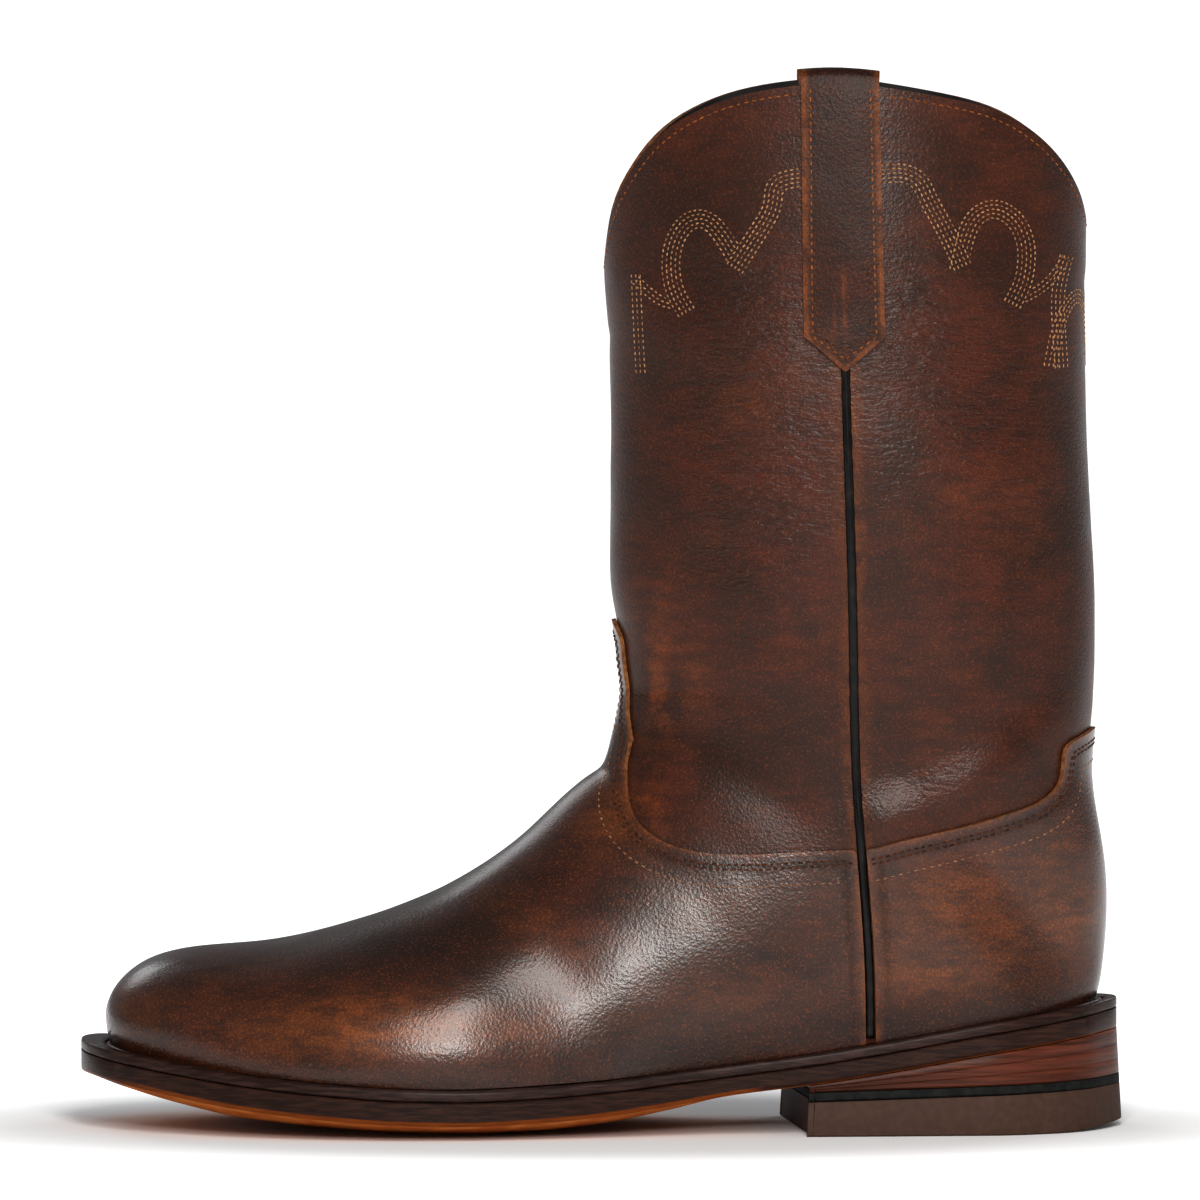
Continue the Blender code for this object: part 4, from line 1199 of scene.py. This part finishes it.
def sole_piece(name, profile, material, node, closed_round=False):
    """A piece of the sole from a cross-section at each turn: (x, y, z, bare) round its ring."""
    rows, bare = [], []
    turns = [(turn, -1) for turn in around]
    if closed_round:
        turns += [(turn, 1) for turn in around[::-1]]
    for turn, side in turns:
        ring = profile(turn, side)
        rows.append([point[:3] for point in ring])
        bare += [point[3] for point in ring]
    piece = new_piece(name, grid_mesh(name, rows, True, closed_round))
    store(piece, "bare", bare)
    face_out(piece, SOLE_CREASE)
    piece.data.materials.append(material)
    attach(piece, "root")
    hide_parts(node)
    return piece


# Outsole: one thick leather sole, stained dark and waxed on its edge and bare tan below, sewn
# to the welt through its edge
BARE_FRONT = -0.240
BARE_REAR = -0.046
BOTTOM_POINTS = 25


def outsole_ring(turn, side):
    x, half = sole_outline(turn, 0.0)
    centre = centre_y(x)
    shows = clamped((x - BARE_FRONT) / 0.02) * clamped((BARE_REAR - x) / 0.004)
    crown = TREAD_CROWN * sole_share(turn, "crown")
    low, top = tread_edge(x), outsole_top(x)
    ring = []
    for share in np.linspace(-1.0, 1.0, BOTTOM_POINTS):
        depth = crown * math.cos(clamped((abs(share) - 0.3) / 0.7) * math.pi / 2)
        inner = max(half - 0.0007, 0.0)
        ring.append((x, centre + inner * share, max(low - depth, 0.0), 1.0))
    levels = (
        (0.00025, 0.00055, shows), (0.0, 0.0011, 0.85 * shows), (0.0, 0.0015, 0.0),
        (0.0, top - low - 0.0004, 0.0), (0.0004, top - low, 0.0),
    )
    for inset, rise, bare in levels:
        ring.append((x, centre + max(half - inset, 0.0), low + rise, bare))
    return ring + [(x, 2 * centre - y, z, bare) for x, y, z, bare in reversed(ring[BOTTOM_POINTS:])]


outsole = sole_piece(
    "sole_leather_outsole", outsole_ring, edge_leather("outsole edge", "231511", "382219", "7b3f11", 0.38),
    "outsole",
)

TREAD_SLOPE = -0.93
tread_tan = mottled(
    "bare tread leather", 0.85, (120.0, 6.0, 0.35, 0.70), ("a85c28", "c27a3c"), (800.0, 5.0, 0.3, 0.0004),
)
outsole.data.materials.append(tread_tan)
for face in outsole.data.polygons:
    if face.normal.z < TREAD_SLOPE and face.center.x < BARE_REAR:
        face.material_index = 1


# Welt: a strip of leather sewn all round between upper and outsole, with a sunk channel for its
# coarse dark stitches
def welt_ring(turn, side):
    x0, half0 = sole_outline(turn, 0.0)
    seat = outsole_top(x0) + FIT_GAP
    show = ledge(turn)
    ring = []
    for inset, rise in (
        (0.0003, 0.0), (0.0, 0.0004), (0.0, 0.0022), (0.00015, 0.0027), (0.0005, 0.0030),
        (show - 0.0034, 0.0031), (show - 0.0030, 0.0026), (show - 0.0018, 0.0024), (show - 0.0012, 0.0030),
        (show + 0.0057, 0.0030), (show + 0.0057, 0.0),
    ):
        x, half = sole_outline(turn, inset)
        rise = min(rise, WELT_THICKNESS)
        level = outsole_top(x) + FIT_GAP if inset > 0.001 else seat
        ring.append((x, centre_y(x) + side * half, level + rise, 0.0))
    return ring


welt = sole_piece(
    "welt_strip", welt_ring, edge_leather("welt leather", "231612", "3b2823", "69462d", 0.34),
    "welt", closed_round=True,
)
welt_tree = tree_of(welt)
welt_line = []
for turn, side in [(turn, -1) for turn in around] + [(turn, 1) for turn in around[::-1]]:
    x, half = sole_outline(turn, ledge(turn) - 0.0024)
    welt_line.append((x, centre_y(x) + side * half, welt_top(x)))


class Level:
    """Stands in for a tree where stitches lie on a level face, which is the welt's."""

    def find_nearest(self, place):
        return place, Vector((0.0, 0.0, 1.0))


sew(
    "welt_stitching", [(np.array(welt_line), *WELT_STITCH)], {"skin": Level(), "top": welt_tree},
    0.00045, dark_thread, 51,
)

# Heel: a stack of three stained leather lifts, a thin black rubber layer and a brown rubber top
# lift that treads on the floor, glued and nailed on each other under the outsole's rear
HEEL_LENGTH = 0.0934
HEEL_FLARE = 0.0016
BREAST_SLANT = 0.0085
BREAST_RAKE = 0.0015
BREAST_X = REAR_X - HEEL_LENGTH
STACK_LIFTS = 3
HEEL_CREASE = math.radians(38)
HEEL_FIT = 0.0002


def heel_tread(x):
    past = max(0.0, x - (REAR_X - 0.0240)) / 0.0240
    return 0.0022 * past * past


def lift_top(x):
    return 0.0100 + 0.0028 * (x - BREAST_X) / HEEL_LENGTH


def rubber_bottom(x):
    return lift_top(x) + HEEL_FIT


def rubber_top(x):
    return rubber_bottom(x) + 0.0026


def stack_bottom(x):
    return rubber_top(x) + HEEL_FIT


def stack_top(x):
    return tread_edge(x) - HEEL_FIT


def heel_wall(turn, across, height, inset):
    x, half = sole_outline(turn, 0.0)
    y = centre_y(x) + max(half - inset, 0.0) * across
    breast = turn == breast_turn
    if breast:
        x += inset - BREAST_SLANT * across / 2
    elif turn == heel_turns[-1]:
        x -= inset
    rearness = (x - BREAST_X) / HEEL_LENGTH
    drop = 1 - height / stack_top(REAR_X)
    x += drop * (HEEL_FLARE * rearness - BREAST_RAKE * (1 - rearness))
    return (x, y, height)


breast_turn = turn_at(BREAST_X)
heel_turns = [breast_turn + (END_TURN - breast_turn) * step / 60 for step in range(61)]


def heel_piece(name, bottom, top, ribs, material, node):
    """A layer of the heel with softly rounded arrises and a shallow line at each rib."""
    rows = []
    for turn in heel_turns:
        x = sole_outline(turn, 0.0)[0]
        low, high = bottom(x), top(x)
        levels = [(low, 0.0005), (low + 0.0005, 0.0)]
        for rib in range(1, ribs):
            line = low + (high - low) * rib / ribs
            levels += [(line - 0.00025, 0.0), (line, 0.00022), (line + 0.00025, 0.0)]
        levels += [(high - 0.0004, 0.0), (high, 0.0003)]
        ring = [heel_wall(turn, -1.0, level, inset) for level, inset in levels]
        ring += [heel_wall(turn, share, high, 0.0003) for share in (-0.6, 0.0, 0.6)]
        ring += [heel_wall(turn, 1.0, level, inset) for level, inset in reversed(levels)]
        ring += [heel_wall(turn, share, low, 0.0005) for share in (0.6, 0.0, -0.6)]
        rows.append(ring)
    piece = new_piece(name, grid_mesh(name, rows, True))
    face_out(piece, HEEL_CREASE)
    piece.data.materials.append(material)
    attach(piece, "root")
    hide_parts(node)


def stack_leather():
    """Edges of stacked lifts: layered streaks, warmer below and darker towards the breast."""
    material, tree, shader = new_material("stacked leather", 0.42, Coat_Weight=0.12, Coat_Roughness=0.3)
    where = add_node(tree, "TexCoord").outputs["Object"]
    layered = add_node(tree, "Mapping", {"Vector": where, "Scale": (0.5, 0.5, 14.0)}).outputs[0]
    place = add_node(tree, "SeparateXYZ", {0: where}).outputs
    body = tone_mix(tree, clouds(tree, layered, 60.0, 7.0, 0.35, 0.68), linear("381e14"), linear("643425"))
    for share, code in (
        (product(tree, clouds(tree, layered, 190.0, 6.0, 0.55, 0.75), 0.6), "1e0f0b"),
        (ranged(tree, place[2], 0.0, 0.5, 0.027, 0.013), "532a1a"),
        (ranged(tree, place[0], 0.0, 0.75, 0.02, -0.05), "2a1711"),
    ):
        body = tone_mix(tree, share, body, linear(code))
    tree.links.new(body, shader.inputs["Base Color"])
    grained(tree, shader, layered, 300.0, 6.0, 0.4, 0.0005)
    return material


RUBBER_CLOUD = (420.0, 7.0, 0.30, 0.80)
RUBBER_GRAIN = (900.0, 5.0, 0.3, 0.0004)
black_rubber = mottled("black rubber", 0.7, RUBBER_CLOUD, ("171717", "252725"), RUBBER_GRAIN)
brown_rubber = mottled("brown rubber", 0.62, RUBBER_CLOUD, ("46342c", "4e3b33"), RUBBER_GRAIN)
heel_piece(
    "heel_stack_lifts", stack_bottom, stack_top, STACK_LIFTS, stack_leather(),
    "heel_stack",
)
heel_piece(
    "heel_black_layer", rubber_bottom, rubber_top, 1, black_rubber, "heel_rubber_layer",
)
heel_piece("heel_top_lift", heel_tread, lift_top, 1, brown_rubber, "top_lift")

# Insole: a leather board that lines the floor of the boot inside, dished a little by the foot
# and glued down. The solid is kept as it is, and only its colour and nap are added.
insole_leather = mottled(
    "insole leather", 0.7, (60.0, 6.0, 0.35, 0.7), ("6a4a30", "8a6442"), (900.0, 5.0, 0.3, 0.0004),
)
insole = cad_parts["insole"]
insole.data.materials.clear()
insole.data.materials.append(insole_leather)

for spare in (skin, fine_skin):
    bpy.data.objects.remove(spare)
